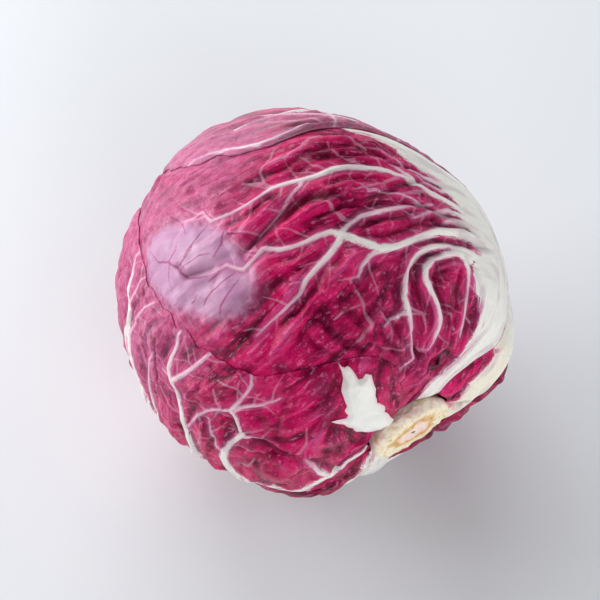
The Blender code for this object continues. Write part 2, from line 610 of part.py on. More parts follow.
def main():
    clear_scene()
    leaves = plan_leaves()
    for leaf in leaves:
        map_margin(leaf)
    build_stem()
    build_heart(leaves)
    for number in range(len(leaves)):
        build_leaf(leaves, number)


main()
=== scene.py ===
"""Looks of a round radicchio head lying on its side: waxy magenta leaves with white ribs.

Places on the head are two angles in degrees, as in the head's own construction:
  turn  - round the stem axis, 0 at the top, +90 at the left front, 180 underneath
  reach - from the cut stem (0) over the head's widest part (90) to its closed tip (180)
Each leaf is a fine grid wrapped onto the head inside the leaf's outline. Its ribs, veins,
puckers and creases are real relief, and the distances to them are kept on the mesh, so the
leaf finish can colour ribs and veins where they are. Lengths are in mm until a mesh is made.
"""

import math
import bmesh
import bpy
import numpy as np
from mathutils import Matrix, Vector, noise


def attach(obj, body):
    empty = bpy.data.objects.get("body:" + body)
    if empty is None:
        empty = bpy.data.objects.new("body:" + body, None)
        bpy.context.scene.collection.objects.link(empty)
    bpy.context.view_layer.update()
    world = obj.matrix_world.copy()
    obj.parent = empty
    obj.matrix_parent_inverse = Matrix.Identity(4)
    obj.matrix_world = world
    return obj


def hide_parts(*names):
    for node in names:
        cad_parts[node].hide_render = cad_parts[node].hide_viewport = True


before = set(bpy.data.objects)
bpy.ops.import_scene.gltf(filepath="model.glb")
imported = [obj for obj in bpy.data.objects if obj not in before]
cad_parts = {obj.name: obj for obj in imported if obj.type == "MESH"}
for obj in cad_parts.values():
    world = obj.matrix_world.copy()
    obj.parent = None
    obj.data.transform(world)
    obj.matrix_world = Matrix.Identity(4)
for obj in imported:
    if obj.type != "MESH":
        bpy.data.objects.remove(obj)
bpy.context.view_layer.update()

MM = 0.001
FINE = 1.0     # share of the full mesh density

# ---------------------------------------------------------------- head frame and sizes

HEAD_RADIUS = 56.0
CENTRE_HEIGHT = 54.6
CHEEK_DEPTH = 46.5           # from the middle to the flat round the stem
CHEEK_BLEND = 8.0            # how softly that flat runs into the ball
TIP_LENGTH = 1.8
DENT_PLACE = (-58.0, 114.0)
DENT_WIDTH = 55.0            # degrees
DENT_DEPTH = 3.0
JOWL_PLACE = (-97.0, 28.0)   # the thick leaf base beside the stem bulges here
JOWL_WIDTH = 32.0            # degrees
JOWL_DEPTH = 3.0

THICKNESS = 0.9
GAP = 0.15
STEP = THICKNESS + GAP
EDGE_THICKNESS = 0.22        # of a blade at its margin
CLIMB = 3.5                  # a leaf takes this far to climb onto the leaf under it
CLEAR = 0.6                  # and has finished this far outside the other's margin
SETTLE = 14.0                # the heart gives way this far round a leaf's margin
SKIN_ALLOWANCE = 0.6
DIP = 1.0                    # a covered leaf lies this much lower, clear of what covers it

WAVE_IN_PLAN = 0.5           # how far a margin waves in and out
WAVE_IN_HEIGHT = 0.12        # and up and down
WAVES_ROUND = 19.0           # up-and-down waves round a margin
NOTCHES = 0.8                # small bites and teeth of a margin
PUCKERS = ((0.85, 9.0, 20), (0.55, 4.5, 40), (0.22, 2.0, 60))   # height, size, seed
QUILT_RISE, QUILT_SINK = 1.1, 0.7     # a blade swells between its ribs
RIB_HEIGHT, VEIN_HEIGHT = 0.55, 0.7   # share of their half width
VEIN_GROOVE = 0.22           # a blade sinks this much beside a vein
STREAK_HEIGHT, PLEAT_HEIGHT = 0.22, 2.6
PLEAT_SIZE = 3.2             # width of the small folds that run along the veins
SMEAR_PACE, SMEAR_STEPS = 0.45, 14    # streaks and folds are drawn out so far along the veins
HEART_MARGINS = 5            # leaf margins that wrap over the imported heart

STEM_ACROSS = 13.0           # half widths of the oval cut
STEM_UPRIGHT = 10.0
STEM_CUT = 49.4
STEM_FOOT = 41.6
STEM_SIDES = 160
STEM_WALL_RINGS = 16
STEM_FACE_RINGS = 40
STEM_PROFILE = [(0.0, 0.86), (0.4, 0.94), (0.65, 0.985), (0.84, 0.985), (0.94, 0.965),
                (1.0, 0.93)]      # share of the height, share of the half width
STEM_REACH = 12.0            # the mean half width, for the stem's finish

STEM_AXIS = np.array((0.565, -0.820, -0.096))
STEM_AXIS = STEM_AXIS / np.linalg.norm(STEM_AXIS)
TURN_UP = np.array((0.0, 0.0, 1.0)) - STEM_AXIS[2] * STEM_AXIS
TURN_UP = TURN_UP / np.linalg.norm(TURN_UP)
TURN_LEFT = np.cross(STEM_AXIS, TURN_UP)
MIDDLE = np.array((0.0, 0.0, CENTRE_HEIGHT))


def direction(turn, reach):
    """Unit vectors from the head's middle for angles in degrees."""
    turn = np.radians(np.asarray(turn, float))[..., None]
    reach = np.radians(np.asarray(reach, float))[..., None]
    ring = np.cos(turn) * TURN_UP + np.sin(turn) * TURN_LEFT
    return np.cos(reach) * STEM_AXIS + np.sin(reach) * ring


def line_of(points):
    return direction([p[0] for p in points], [p[1] for p in points])


def angles(rays):
    """Turn and reach, in degrees, of unit vectors."""
    reach = np.degrees(np.arccos(np.clip(rays @ STEM_AXIS, -1.0, 1.0)))
    turn = np.degrees(np.arctan2(rays @ TURN_LEFT, rays @ TURN_UP))
    return turn, reach


def degrees_from(rays, turn, reach):
    return np.degrees(np.arccos(np.clip(rays @ direction(turn, reach), -1.0, 1.0)))


def mm_from(rays, turn, reach):
    return np.linalg.norm(rays - direction(turn, reach), axis=1) * HEAD_RADIUS


def ramp(low, high, value):
    """0 below low, 1 above high, smooth between."""
    part = np.clip((value - low) / (high - low), 0.0, 1.0)
    return part * part * (3.0 - 2.0 * part)


def smaller(a, b, blend):
    """The smaller of two lengths, rounded over where they meet."""
    mix = np.clip(0.5 + 0.5 * (b - a) / blend, 0.0, 1.0)
    return b + (a - b) * mix - blend * mix * (1.0 - mix)


def unit(rows):
    return rows / np.maximum(np.linalg.norm(rows, axis=-1, keepdims=True), 1e-12)


# ---------------------------------------------------------------- the leaves' plan
# Outlines are (turn, reach). Ribs and veins are (turn, reach, half width in mm). Creases are
# (turn, reach, depth in mm). Lifts are (turn, reach, radius in mm, lift in mm). The window
# reflection is a pale lilac patch painted on the front leaf where it mirrors the side window,
# with dark veins, and the bruise is a ring of browned cells.
# A painted sheen place is (turn, reach, radius in degrees, share): a pale haze painted where the
# leaves catch the windows' sheen.

FRONT_OUTLINE = [
    (-48, 14.4), (-24, 13.2), (0, 12.8), (20, 13.2), (34, 18), (46, 26), (57, 38), (66, 52),
    (71, 68), (72, 85), (71, 100), (71, 115), (70, 128), (66, 139), (46, 150), (6, 154), (-30, 149),
    (-62, 140), (-90, 124), (-106, 105), (-113, 85), (-112, 62), (-104, 42), (-92, 26), (-80, 15.8),
    (-64, 15.2)]
FRONT_MIDRIB = [
    (-31, 14, 4.2), (-36, 20, 4.5), (-42, 25, 4.2), (-47, 29, 4.8), (-52, 34, 6.8), (-57, 40, 10.2),
    (-59.6, 46, 14), (-60, 53, 16.4), (-60.4, 60, 14.6), (-59.5, 68, 12.2), (-57.5, 76, 11.4),
    (-56, 81, 10.8), (-52.8, 86, 10), (-49.8, 90.5, 9.2), (-47, 94, 8.4), (-45, 98, 7.4),
    (-43, 103, 5.8), (-40.5, 107, 4), (-37, 110, 2.6), (-31, 114.5, 1.6), (-28, 121, 0.8)]
FRONT_RIBS = [
    [(-60, 60, 4), (-52, 64.5, 3.2), (-45, 66.8, 1.87), (-36.4, 68.2, 1.48), (-28.8, 69.7, 1.25),
     (-22.7, 69.7, 1.09), (-17.1, 69.8, 1.01), (-11.8, 70, 1.09), (-6.8, 71.3, 1.25),
     (-4.1, 73.7, 1.17), (-1.7, 76.6, 1.09), (1.2, 80, 1.33), (3.3, 82.4, 0.86), (6.7, 83.4, 0.78),
     (10.8, 83.9, 0.7), (14.6, 84.9, 0.62), (17.6, 86.2, 0.78), (20.4, 88.8, 0.62),
     (21.5, 89.6, 0.62), (24.3, 89, 0.55), (29.2, 88.3, 0.55), (30.8, 90.3, 0.47),
     (32.1, 92.7, 0.45), (37.2, 93.8, 0.27)],
    [(1.2, 80, 1.17), (3.7, 78.6, 0.94), (7.6, 77.1, 0.86), (13, 76.1, 0.78), (17.5, 75, 0.7),
     (21, 73, 0.55), (27.8, 72.3, 0.41), (33.4, 72.3, 0.27), (38.9, 72.1, 0.18)],
    [(-32, 78, 0.36), (-25, 79.3, 0.47), (-18.6, 80.3, 0.62), (-11.9, 81.1, 0.7),
     (-6.6, 81.9, 0.62), (-2.9, 81.6, 0.62), (0.9, 80.8, 0.78)],
    [(-5.5, 71.1, 0.7), (-2.3, 71, 0.7), (1.3, 69.8, 0.62), (4.2, 67.5, 0.36)],
    [(-50, 73, 1.87), (-45.9, 75, 1.56), (-40.8, 78.5, 1.25), (-35.2, 82.4, 1.01),
     (-31.3, 86, 0.86), (-28, 89.8, 0.86), (-25.5, 92.2, 0.94), (-22.8, 94, 1.01),
     (-18.9, 95.9, 1.09), (-14.1, 97.9, 1.09), (-10, 98.9, 1.09), (-4.4, 99.2, 0.94),
     (0.5, 100.5, 0.86), (5.1, 102.1, 0.78), (8.8, 103.4, 0.7), (13.4, 103.6, 0.55),
     (18.4, 104.1, 0.47), (23.2, 105.2, 0.43), (28.9, 107.4, 0.45), (29.6, 110.8, 0.36),
     (29.7, 112.8, 0.32), (33.4, 113, 0.27), (38.1, 115.8, 0.18)],
    [(0.8, 100, 0.62), (2.9, 98.6, 0.47), (6.7, 97.2, 0.41), (10.6, 95.6, 0.32), (14.8, 94.4, 0.27),
     (20, 93.5, 0.23), (27, 90.2, 0.18)],
    [(-46, 60, 1.95), (-42.3, 61.1, 1.56), (-38.8, 62.6, 1.25), (-30.2, 65.3, 1.01),
     (-23.5, 66.1, 0.94), (-18.9, 65.8, 0.94), (-14.6, 64.5, 0.86), (-11.4, 62.5, 0.78),
     (-8.5, 59.9, 0.78), (-6.5, 56.5, 0.86), (-6.2, 53.4, 1.01), (-5.8, 49.9, 0.7),
     (-4.2, 45.6, 0.47), (-2.5, 41.1, 0.45), (-2.5, 38, 0.45), (2.2, 37.2, 0.32), (6, 37.6, 0.18)],
    [(-5.5, 52.1, 0.7), (-1.2, 52.5, 0.62), (1.8, 52.5, 0.47), (4.4, 52, 0.27)],
    [(-40, 60, 1.72), (-33.1, 62.6, 1.09), (-27.2, 62.8, 0.94), (-21.8, 62.9, 0.86),
     (-17.9, 61.4, 0.94), (-16.3, 58.3, 1.01), (-17.5, 54.4, 0.94), (-19.1, 50.4, 0.94),
     (-18.9, 45.9, 0.86), (-16.4, 42.4, 0.7), (-14.1, 39.7, 0.47), (-11, 38.2, 0.18)],
    [(-37, 59.5, 1.25), (-37.5, 57.4, 0.94), (-37, 54.4, 0.7), (-35.6, 51.1, 0.62),
     (-34, 47.3, 0.62), (-32.8, 43.5, 0.47), (-31.7, 40.6, 0.45), (-31.9, 38, 0.27)],
    [(-38, 80, 1.01), (-34, 83.4, 0.86), (-32, 87, 0.86), (-30, 91, 0.7), (-28.3, 94.6, 0.36)],
    [(-40, 71.5, 1.01), (-34.6, 74.4, 0.62), (-29.6, 77.2, 0.43), (-25.7, 81.8, 0.41),
     (-22.7, 84.1, 0.36), (-19.1, 86.1, 0.36), (-16.2, 87.4, 0.32), (-13.4, 88, 0.23)],
    [(-48, 72, 1.56), (-38, 75.2, 0.7), (-30, 76, 0.45), (-22, 75.5, 0.23)],
    [(-50, 70, 1.72), (-40, 71.6, 0.78), (-33, 72, 0.45)],
    [(-44, 85.5, 1.25), (-38, 87.6, 0.78), (-34.6, 91, 0.55), (-32.4, 96, 0.45), (-31, 101, 0.27)],
    [(-50, 82, 1.4), (-42, 82.4, 0.7), (-37, 85.4, 0.45), (-34.8, 89, 0.23)]]
FRONT_VEINS = [
    [(-2.9, 82.5, 0.6), (-1.2, 84.9, 0.5), (-0.6, 88.9, 0.4), (-0.2, 91.7, 0.3), (2.1, 93.2, 0.2)],
    [(8.7, 103.6, 0.5), (9.9, 106.3, 0.45), (11.6, 108.2, 0.4), (15, 110.6, 0.2)],
    [(9.7, 106.5, 0.3), (8.8, 109.8, 0.35), (6.6, 111.3, 0.4), (3.2, 111, 0.4), (-0.2, 109.8, 0.4),
     (-5.2, 111.6, 0.45), (-11.4, 113.1, 0.5), (-17.1, 112, 0.5), (-21.8, 109.5, 0.5),
     (-22.7, 106.1, 0.4), (-24.3, 101.9, 0.3)],
    [(2.4, 52.7, 0.4), (3.2, 54.8, 0.35), (3.7, 56.7, 0.2)],
    [(6.5, 68.2, 0.4), (7.1, 66.4, 0.4), (6.7, 63.3, 0.35), (7.5, 60.4, 0.4), (8.6, 57, 0.5),
     (8.3, 54.6, 0.7)],
    [(7.7, 54.5, 0.7), (13.6, 53.4, 0.5), (16.4, 52.7, 0.2)],
    [(7.1, 61, 0.2), (14.2, 62.1, 0.35), (17.7, 61.9, 0.2)],
    [(5, 112, 0.3), (1, 115, 0.3), (-4, 118, 0.15)],
    [(-20, 96, 0.4), (-16, 101, 0.35), (-14, 105, 0.3), (-15, 109, 0.2)],
    [(-8, 99, 0.4), (-5, 103, 0.3), (-4, 108, 0.2)],
    [(22, 89, 0.4), (26, 93, 0.3), (27, 98, 0.2)],
    [(16, 104, 0.4), (20, 99, 0.3), (26, 98, 0.2)],
    [(24, 106, 0.4), (30, 103, 0.3), (38, 104, 0.2)],
    [(-32, 90, 0.5), (-24, 89, 0.4), (-16, 89, 0.3), (-9, 90, 0.2)],
    [(-38, 82, 0.5), (-30, 83, 0.4), (-22, 84, 0.25)],
    [(-6, 54, 0.4), (-11, 50, 0.3), (-11, 44, 0.2)],
    [(-19, 49, 0.4), (-25, 46, 0.3), (-27, 41, 0.2)],
    [(-3, 43, 0.4), (4, 44, 0.3), (9, 47, 0.2)]]
FRONT_CREASES = [
    [(27, 92.3, 0.4), (20, 93.3, 1.7), (12.5, 94.3, 2.4), (5.5, 94.5, 2.4), (-0.5, 93, 2),
     (-4.5, 89, 1.2), (-6, 85.5, 0.4)],
    [(-15.5, 63.9, 0.5), (-17.4, 64.4, 1.2), (-21.1, 64.5, 1.5), (-25.3, 63.7, 0.6)],
    [(-17.3, 64, 0.8), (-13.4, 62.3, 1.2), (-11.9, 59.7, 1.3), (-12.3, 54.9, 1.1),
     (-13.6, 49.4, 0.8), (-12.8, 44.4, 0.4)],
    [(-19.7, 58.9, 0.5), (-22.6, 58.4, 1.6), (-27.8, 58.9, 0.5)],
    [(-25.4, 50.6, 0.4), (-27.2, 46.3, 1), (-27.1, 42.8, 0.4)],
    [(-3.3, 78, 0.4), (-7.6, 79.2, 1.3), (-12.1, 78.8, 1.1), (-17.1, 78, 0.3)],
    [(19.4, 68.5, 0.4), (20.6, 64, 1.1), (20.7, 59.2, 1.3), (19.3, 55.2, 1.4), (16.8, 51.4, 1.1),
     (13.7, 46.8, 0.4)],
    [(7.1, 60.1, 0.3), (6.7, 54.9, 0.8), (6.2, 48.3, 1), (4.5, 42, 0.8), (3, 34, 0.5)],
    [(-5.2, 45.8, 0.3), (-4.5, 40.4, 0.9), (-8.2, 33.2, 0.4)],
    [(-45, 69.5, 0.2), (-38, 70.3, 0.5), (-30, 71.6, 0.6), (-22, 72.4, 0.2)],
    [(-56, 63, 0.2), (-48, 63.5, 0.5), (-40, 66, 0.7), (-32, 67.4, 0.4)],
    [(-43, 52, 0.2), (-42, 57, 0.5), (-37, 61, 0.3)],
    [(12, 74, 0.3), (18, 71.5, 0.9), (26, 69, 0.3)],
    [(-14, 87, 0.3), (-4, 90.5, 0.6), (2, 91, 0.2)],
    [(36, 95, 0.3), (43.7, 98.5, 0.8), (44.4, 103, 0.3)],
    [(-9, 103, 0.3), (0, 105, 0.8), (6, 108, 0.3)],
    [(-42, 90, 0.2), (-34, 93, 0.8), (-26, 96.5, 0.3)],
    [(-30, 61, 0.3), (-24, 61, 1), (-20.6, 58, 1.2), (-21.5, 52, 1.2), (-23, 46, 1),
     (-20, 40, 0.4)],
    [(-33, 59, 0.3), (-30.5, 55, 1), (-29.5, 50, 1), (-27.5, 45, 0.5)],
    [(-13.5, 67.5, 0.3), (-8.5, 64.5, 0.9), (-4.5, 59, 1.2), (-3.2, 54, 0.9), (-3, 48, 0.4)],
    [(3.5, 58, 0.3), (1, 54, 0.9), (0.5, 47, 0.9), (-1, 42, 0.4)],
    [(14, 66, 0.3), (12.5, 61, 1), (11.5, 56, 1), (11, 50, 0.6), (9, 44, 0.3)],
    [(27, 66, 0.3), (27, 60, 0.9), (25, 54, 0.9), (21, 48, 0.3)],
    [(-40, 74.5, 0.3), (-30, 74, 1), (-20, 73.6, 1), (-10, 75, 0.8), (-4, 77, 0.3)],
    [(-36, 86.5, 0.3), (-26, 86.5, 1.1), (-15, 86, 1.2), (-5, 86.5, 0.9), (4, 88, 0.3)],
    [(-30, 97, 0.3), (-20, 101, 1), (-10, 103.5, 0.8), (-2, 106.5, 0.3)],
    [(-32, 103, 0.3), (-20, 106, 0.8), (-8, 108, 0.9), (4, 107, 0.3)],
    [(-21.7, 81.3, 0.3), (-27.7, 78.6, 1), (-32.3, 76, 1.1), (-36.7, 73.4, 1), (-41.5, 70.6, 0.9),
     (-48.4, 67.6, 0.3)],
    [(-18, 67.9, 0.3), (-25.4, 67.9, 0.9), (-29.3, 66.8, 1), (-34.2, 65.2, 0.9),
     (-41.3, 63.4, 0.3)],
    [(-11.7, 33.5, 1.3), (-19.5, 35.1, 1.6), (-28, 33.6, 1.5), (-33, 30.6, 1.3), (-28.2, 27.4, 1.3),
     (-20, 28.4, 1.2), (-13, 30.8, 1.2), (-11.7, 33.5, 1.3)]]
FRONT_LIFTS = [
    (40, 88, 20, 1.2), (10, 66, 12, 0.8), (12, 97, 9, 0.9), (-8, 88, 9, 0.5), (62, 146, 15, 1.1)]

# pale haze painted where the leaves catch the windows' sheen
PAINTED_SHEEN_PLACES = [(68, 120, 56, 1), (30, 130, 34, 0.9), (-14, 50, 34, 0.12)]
BRUISE = (-21.5, 31.3)
BRUISE_RADIUS = 3.5
# where the side window's reflection is painted on the front leaf, as a pale lilac patch
WINDOW_REFLECTION_OUTLINE = [
    (54.6, 116), (58, 111), (55, 102), (50, 93), (45.6, 86.4), (42, 82.6), (37.5, 79.5), (32, 81),
    (28.6, 84), (27.4, 90), (27.5, 97), (28.8, 104), (32.4, 110), (38.8, 116), (45.4, 119),
    (50, 119.5)]
WINDOW_REFLECTION_VEINS = [
    [(52.5, 116.4, 0.2), (50.7, 110.4, 0.3), (46.8, 106.9, 0.35), (44.8, 102.6, 0.35),
     (44.5, 100.4, 0.35), (43.7, 97.9, 0.3), (40.6, 95.4, 0.25), (38.3, 94.1, 0.15)],
    [(37.8, 104.4, 0.2), (40.6, 103.4, 0.3), (43.8, 103, 0.35)],
    [(44, 92.1, 0.2), (46, 91.5, 0.3), (47.3, 91.8, 0.2)],
    [(31.6, 89.5, 0.2), (36.5, 89.6, 0.3), (39.8, 89.6, 0.3), (43.2, 89, 0.3), (44.8, 88, 0.2)],
    [(31.6, 87.1, 0.2), (36.7, 85.6, 0.3), (40.2, 84.6, 0.3), (42.7, 82.7, 0.2)],
    [(30.1, 107.6, 0.2), (35.4, 105.6, 0.3), (39.5, 104.7, 0.3), (41.3, 103.7, 0.2)],
    [(41.7, 124.4, 0.2), (39.8, 119.4, 0.3), (37.6, 115.2, 0.3), (37.5, 110, 0.2)],
    [(20, 104.4, 0.2), (27, 101.1, 0.3), (30, 98.4, 0.3), (34, 97, 0.2)],
    [(27.8, 118.7, 0.2), (27.8, 114.4, 0.3), (29.7, 112.8, 0.2)],
    [(26.8, 99.5, 0.3), (23.7, 96.8, 0.3), (22.3, 93.6, 0.2)],
    [(34, 98.5, 0.15), (37, 100.5, 0.25), (40.2, 101, 0.25), (44, 101.8, 0.2)],
    [(33, 94, 0.15), (35.5, 92.6, 0.25), (39.5, 92.8, 0.2)],
    [(46.4, 106.5, 0.3), (49.5, 103, 0.25), (50.4, 99, 0.15)],
    [(41, 110, 0.15), (43, 108, 0.25), (46.5, 107.2, 0.3)]]

BACK_OUTLINE = [
    (-132, 14.6), (-118, 15.4), (-104, 15.8), (-98, 26), (-92, 42), (-88, 60), (-80, 80), (-66, 98),
    (-52, 108), (-38, 114), (-26, 117.4), (-18, 118.4), (-11, 117.8), (-3, 117.6), (2.5, 119.4),
    (7.5, 122.6), (12.5, 126.8), (18, 130.8), (24.5, 134), (29, 138.5), (44, 150), (80, 160),
    (130, 160), (175, 150), (-165, 136), (-156, 118), (-152, 96), (-152, 70), (-148, 46),
    (-142, 28)]
BACK_MIDRIB = [
    (-118, 15, 7), (-121, 34, 8.5), (-121, 52, 7.5), (-118, 72, 5.5), (-112, 92, 4), (-98, 112, 3),
    (-72, 128, 2), (-34, 138, 1.2), (0, 140, 0.6)]
BACK_RIBS = [
    [(-20, 121, 0.2), (-11, 120.6, 0.36), (-3.5, 120.4, 0.52), (2, 121.6, 0.66), (6.6, 124.5, 0.62),
     (11.4, 128.6, 0.55), (17, 132.7, 0.48), (23.4, 135.9, 0.38), (28.7, 136.8, 0.27),
     (33.6, 136.4, 0.15)],
    [(-28, 121.5, 0.36), (-23.7, 125.1, 0.36), (-17.1, 130.3, 0.3), (-12, 135.2, 0.18)],
    [(-60, 112, 1.4), (-45, 124, 0.94), (-37, 128.5, 0.7), (-27, 135.2, 0.55), (-21, 143.4, 0.45),
     (-8, 150, 0.27)]]
BACK_CREASES = [
    [(-11.8, 124.8, 0.3), (-17.6, 123.1, 1.6), (-23.9, 121.9, 2), (-31, 121, 1.3), (-38, 119, 0.4)],
    [(-150, 100, 0.3), (-120, 126, 0.9), (-80, 146, 0.9), (0, 158, 0.3)]]
BACK_LIFTS = [(-16, 119, 6, 0.3), (-50, 134, 13, 1)]

LEFT_OUTLINE = [
    (126, 15), (108, 15.7), (96, 16.2), (82, 16.2), (60, 15.2), (40, 14.2), (22, 13.6), (8, 20),
    (7.5, 28), (7, 35), (8.5, 40), (11, 44), (14.5, 47.5), (19, 50), (25, 52.2), (29.6, 53.7),
    (34.1, 56.2), (39.2, 56.6), (41.2, 59.1), (44.8, 61.2), (47.8, 62.8), (49.3, 66.2),
    (51.4, 70.2), (51.5, 73.5), (53.1, 78.4), (55.4, 81), (55.4, 84), (55.3, 89.5), (57.2, 91.5),
    (56.2, 94), (57, 98.1), (58.5, 104.7), (59.5, 112), (58.2, 116), (59.1, 122), (60, 132),
    (64, 144), (76, 154), (104, 159), (140, 155), (160, 142), (168, 124), (172, 104), (171, 82),
    (166, 62), (158, 50), (151, 42), (146, 34), (143, 29), (140, 24), (134, 19)]
LEFT_MIDRIB = [
    (103, 16, 1.4), (106, 24, 1), (112, 32, 1.4), (121, 42, 3.2), (126, 54, 4.6), (124, 68, 4.4),
    (117, 82, 3.8), (107, 96, 3.2), (96, 105, 2.6), (86, 110, 2)]
LEFT_RIBS = [
    [(120, 76, 3.4), (106, 73.5, 1.87), (92, 74, 1.33), (87.2, 75.6, 1.17), (81.7, 77.5, 1.01),
     (76.7, 80.7, 0.94), (73.3, 83.9, 0.94), (70.3, 86.7, 0.78), (65.9, 87.5, 0.7),
     (60.5, 87.9, 0.62), (56.9, 89.6, 0.47)],
    [(72.8, 83.9, 0.78), (67.2, 81.7, 0.62), (62.4, 80.2, 0.55), (57.6, 79.2, 0.55),
     (53.1, 78.4, 0.36)],
    [(72.4, 85.3, 0.47), (72.8, 88.5, 0.27)],
    [(126, 58, 3.8), (106, 61, 1.87), (93.8, 61.8, 1.25), (87.8, 61.4, 1.09), (80.5, 60.1, 0.86),
     (73.1, 58, 0.94), (69.8, 59.5, 0.78), (66.7, 61.9, 0.78), (64.6, 64.3, 0.78),
     (59.4, 63.7, 0.47), (54.4, 63.6, 0.43), (51.1, 64.1, 0.45), (49.1, 65.8, 0.36)],
    [(64.6, 64.3, 0.55), (66.5, 66.1, 0.47), (68.7, 68.6, 0.45), (71.7, 70.3, 0.43),
     (77.2, 72.3, 0.45), (83.2, 73.5, 0.36), (89, 75, 0.36)],
    [(64.9, 63.4, 0.47), (61.8, 62.5, 0.55), (59.1, 60.5, 0.55), (56.3, 58.1, 0.43),
     (52.4, 56.4, 0.32), (49.5, 55.3, 0.18)],
    [(74.3, 57.7, 0.7), (72.3, 55.2, 0.55), (70.1, 52.3, 0.41), (68.3, 49.8, 0.18)],
    [(89, 61.9, 0.47), (83.9, 64.1, 0.45), (80.1, 66.2, 0.41), (74.3, 69.5, 0.27)],
    [(111, 30.5, 0.78), (101, 32, 1.25), (92, 33.2, 0.78), (84.6, 34.6, 0.55), (77.5, 38.3, 0.27)],
    [(96, 105, 1.72), (82.8, 107.6, 0.62), (72.2, 106.3, 0.47), (65.2, 105.3, 0.43),
     (59.3, 102.4, 0.32)],
    [(88, 109, 1.72), (82, 110, 1.33), (77.1, 111.8, 1.17), (73.3, 116.2, 1.01),
     (66.5, 118.6, 0.78), (61.3, 121, 0.47), (59.1, 121.9, 0.36)],
    [(78.3, 110.8, 0.7), (74.1, 112.1, 0.55), (69.4, 113, 0.43), (63.4, 112.8, 0.45),
     (59, 111.9, 0.27)],
    [(126, 64, 2.03), (140, 74, 1.25), (152, 86, 0.7), (162, 98, 0.36)],
    [(118, 84, 1.72), (132, 95, 1.09), (146, 108, 0.62), (158, 122, 0.27)],
    [(104, 98, 1.4), (116, 114, 0.86), (130, 132, 0.36)],
    [(112, 88, 1.56), (98, 90, 0.94), (86, 93, 0.62), (78, 95, 0.45), (72, 94, 0.27)],
    [(126, 48, 2.03), (140, 52, 1.25), (154, 60, 0.62), (162, 72, 0.36)]]
LEFT_VEINS = [
    [(67, 66.9, 0.45), (64.7, 69.3, 0.45), (61.3, 71.3, 0.3)],
    [(95.1, 70.8, 0.3), (86.2, 68.5, 0.45), (81.8, 69.3, 0.3)],
    [(70.9, 43.3, 0.3), (66.2, 41.6, 0.35), (59.5, 41.9, 0.3), (53.1, 44.5, 0.2)],
    [(93.2, 56.6, 0.4), (90, 53.7, 0.4), (83.1, 52.2, 0.25)],
    [(73.3, 97.3, 0.3), (70.2, 98.6, 0.4), (65.2, 98, 0.4)],
    [(63.5, 125, 0.3), (60.6, 127.4, 0.2)],
    [(70.6, 59, 0.4), (74, 62, 0.3), (79, 62.5, 0.2)],
    [(62, 80, 0.35), (60, 84, 0.3), (57, 86, 0.15)],
    [(96, 76.5, 0.4), (94, 82, 0.3), (88, 86, 0.2)],
    [(84, 78, 0.4), (83, 83, 0.3), (80, 87, 0.2)],
    [(57, 64, 0.35), (56, 68, 0.3), (58, 72, 0.15)],
    [(70, 106, 0.35), (68, 101, 0.3), (72, 100, 0.15)]]
LEFT_CREASES = [
    [(73.2, 54.5, 0.6), (71.8, 51.3, 1.8), (72.1, 47.9, 2.5), (72.5, 43.9, 2.5), (73.9, 39.8, 2.3),
     (82.6, 32.9, 1.8), (96, 29.5, 1.5), (109, 27.9, 1)],
    [(67.5, 63.4, 0.6), (70.7, 61.6, 1.8), (73.2, 60, 0.6)],
    [(84, 74.6, 0.6), (77.2, 74.6, 1.3), (70.5, 73.3, 0.6)],
    [(47.6, 43.4, 0.3), (49.1, 37.8, 1), (50.1, 32.7, 1.4), (53.1, 25.7, 1.5), (56.7, 18, 0.6)],
    [(84, 86, 0.3), (76, 92, 0.9), (66, 95, 0.3)],
    [(48, 54, 0.3), (56, 52, 0.8), (64, 50, 0.3)],
    [(30, 47, 0.2), (42, 46, 0.6), (50, 48, 0.3)],
    [(93, 66, 0.3), (85, 66, 0.9), (80, 64.5, 0.5)],
    [(60, 76, 0.2), (66, 75, 0.7), (70, 77, 0.3)],
    [(64, 109, 0.3), (72, 109.5, 0.8), (82, 109.5, 0.3)],
    [(60, 30, 0.3), (72, 29, 0.9), (88, 24, 0.4)]]
LEFT_LIFTS = [
    (88, 46, 8, 1), (60, 45, 8, 0.8), (84, 67, 6, 1), (60, 71, 8, 0.6), (126, 27, 7, 1.2),
    (88, 129, 16, 0.9)]

RIGHT_OUTLINE = [
    (-130, 14.8), (-110, 15.6), (-88, 16.2), (-70, 15.6), (-48.5, 15), (-48.4, 18.5), (-49, 22.5),
    (-53, 26.2), (-58, 30.5), (-69, 34.8), (-76, 42), (-81, 52), (-83, 62), (-84, 74), (-87, 86),
    (-93, 97), (-104, 109), (-118, 117), (-134, 118), (-147, 108), (-155, 92), (-157, 74),
    (-152, 54), (-145, 37), (-138, 24)]
RIGHT_MIDRIB = [
    (-116, 15, 5), (-113, 19, 6.2), (-101, 25, 7.8), (-92, 31, 9.3), (-90, 37, 12), (-94, 46, 13.5),
    (-99, 55, 12), (-104, 64, 9.5), (-109, 76, 6.5), (-114, 90, 4), (-119, 102, 2.2),
    (-123, 111, 1)]
RIGHT_CREASES = [
    [(-97, 17.5, 0.8), (-99, 20.5, 1.2), (-107, 22.5, 0.8)]]

UNDER_OUTLINE = [
    (-134, 14.6), (-150, 13.6), (-170, 12.9), (170, 12.9), (150, 13.6), (128, 14.8), (113, 15.6),
    (114, 18.5), (122, 23), (130, 27.6), (128, 36), (124, 47), (126, 62), (132, 78), (141, 94),
    (154, 108), (172, 116), (-168, 114), (-150, 103), (-137, 90), (-125, 76), (-113, 62),
    (-104, 51), (-98, 43), (-97, 38), (-101, 34), (-107, 30.5), (-117, 27), (-126, 24.5),
    (-134, 20)]
UNDER_MIDRIB = [
    (136, 14.5, 4.5), (144, 20, 4.8), (156, 26, 5.5), (170, 38, 6.5), (180, 52, 6), (-178, 66, 5),
    (-178, 82, 4), (-178, 96, 2.6), (-178, 106, 1.2)]
UNDER_LIFTS = [(-100, 38, 11, 2.2), (-112, 29, 8, 1)]

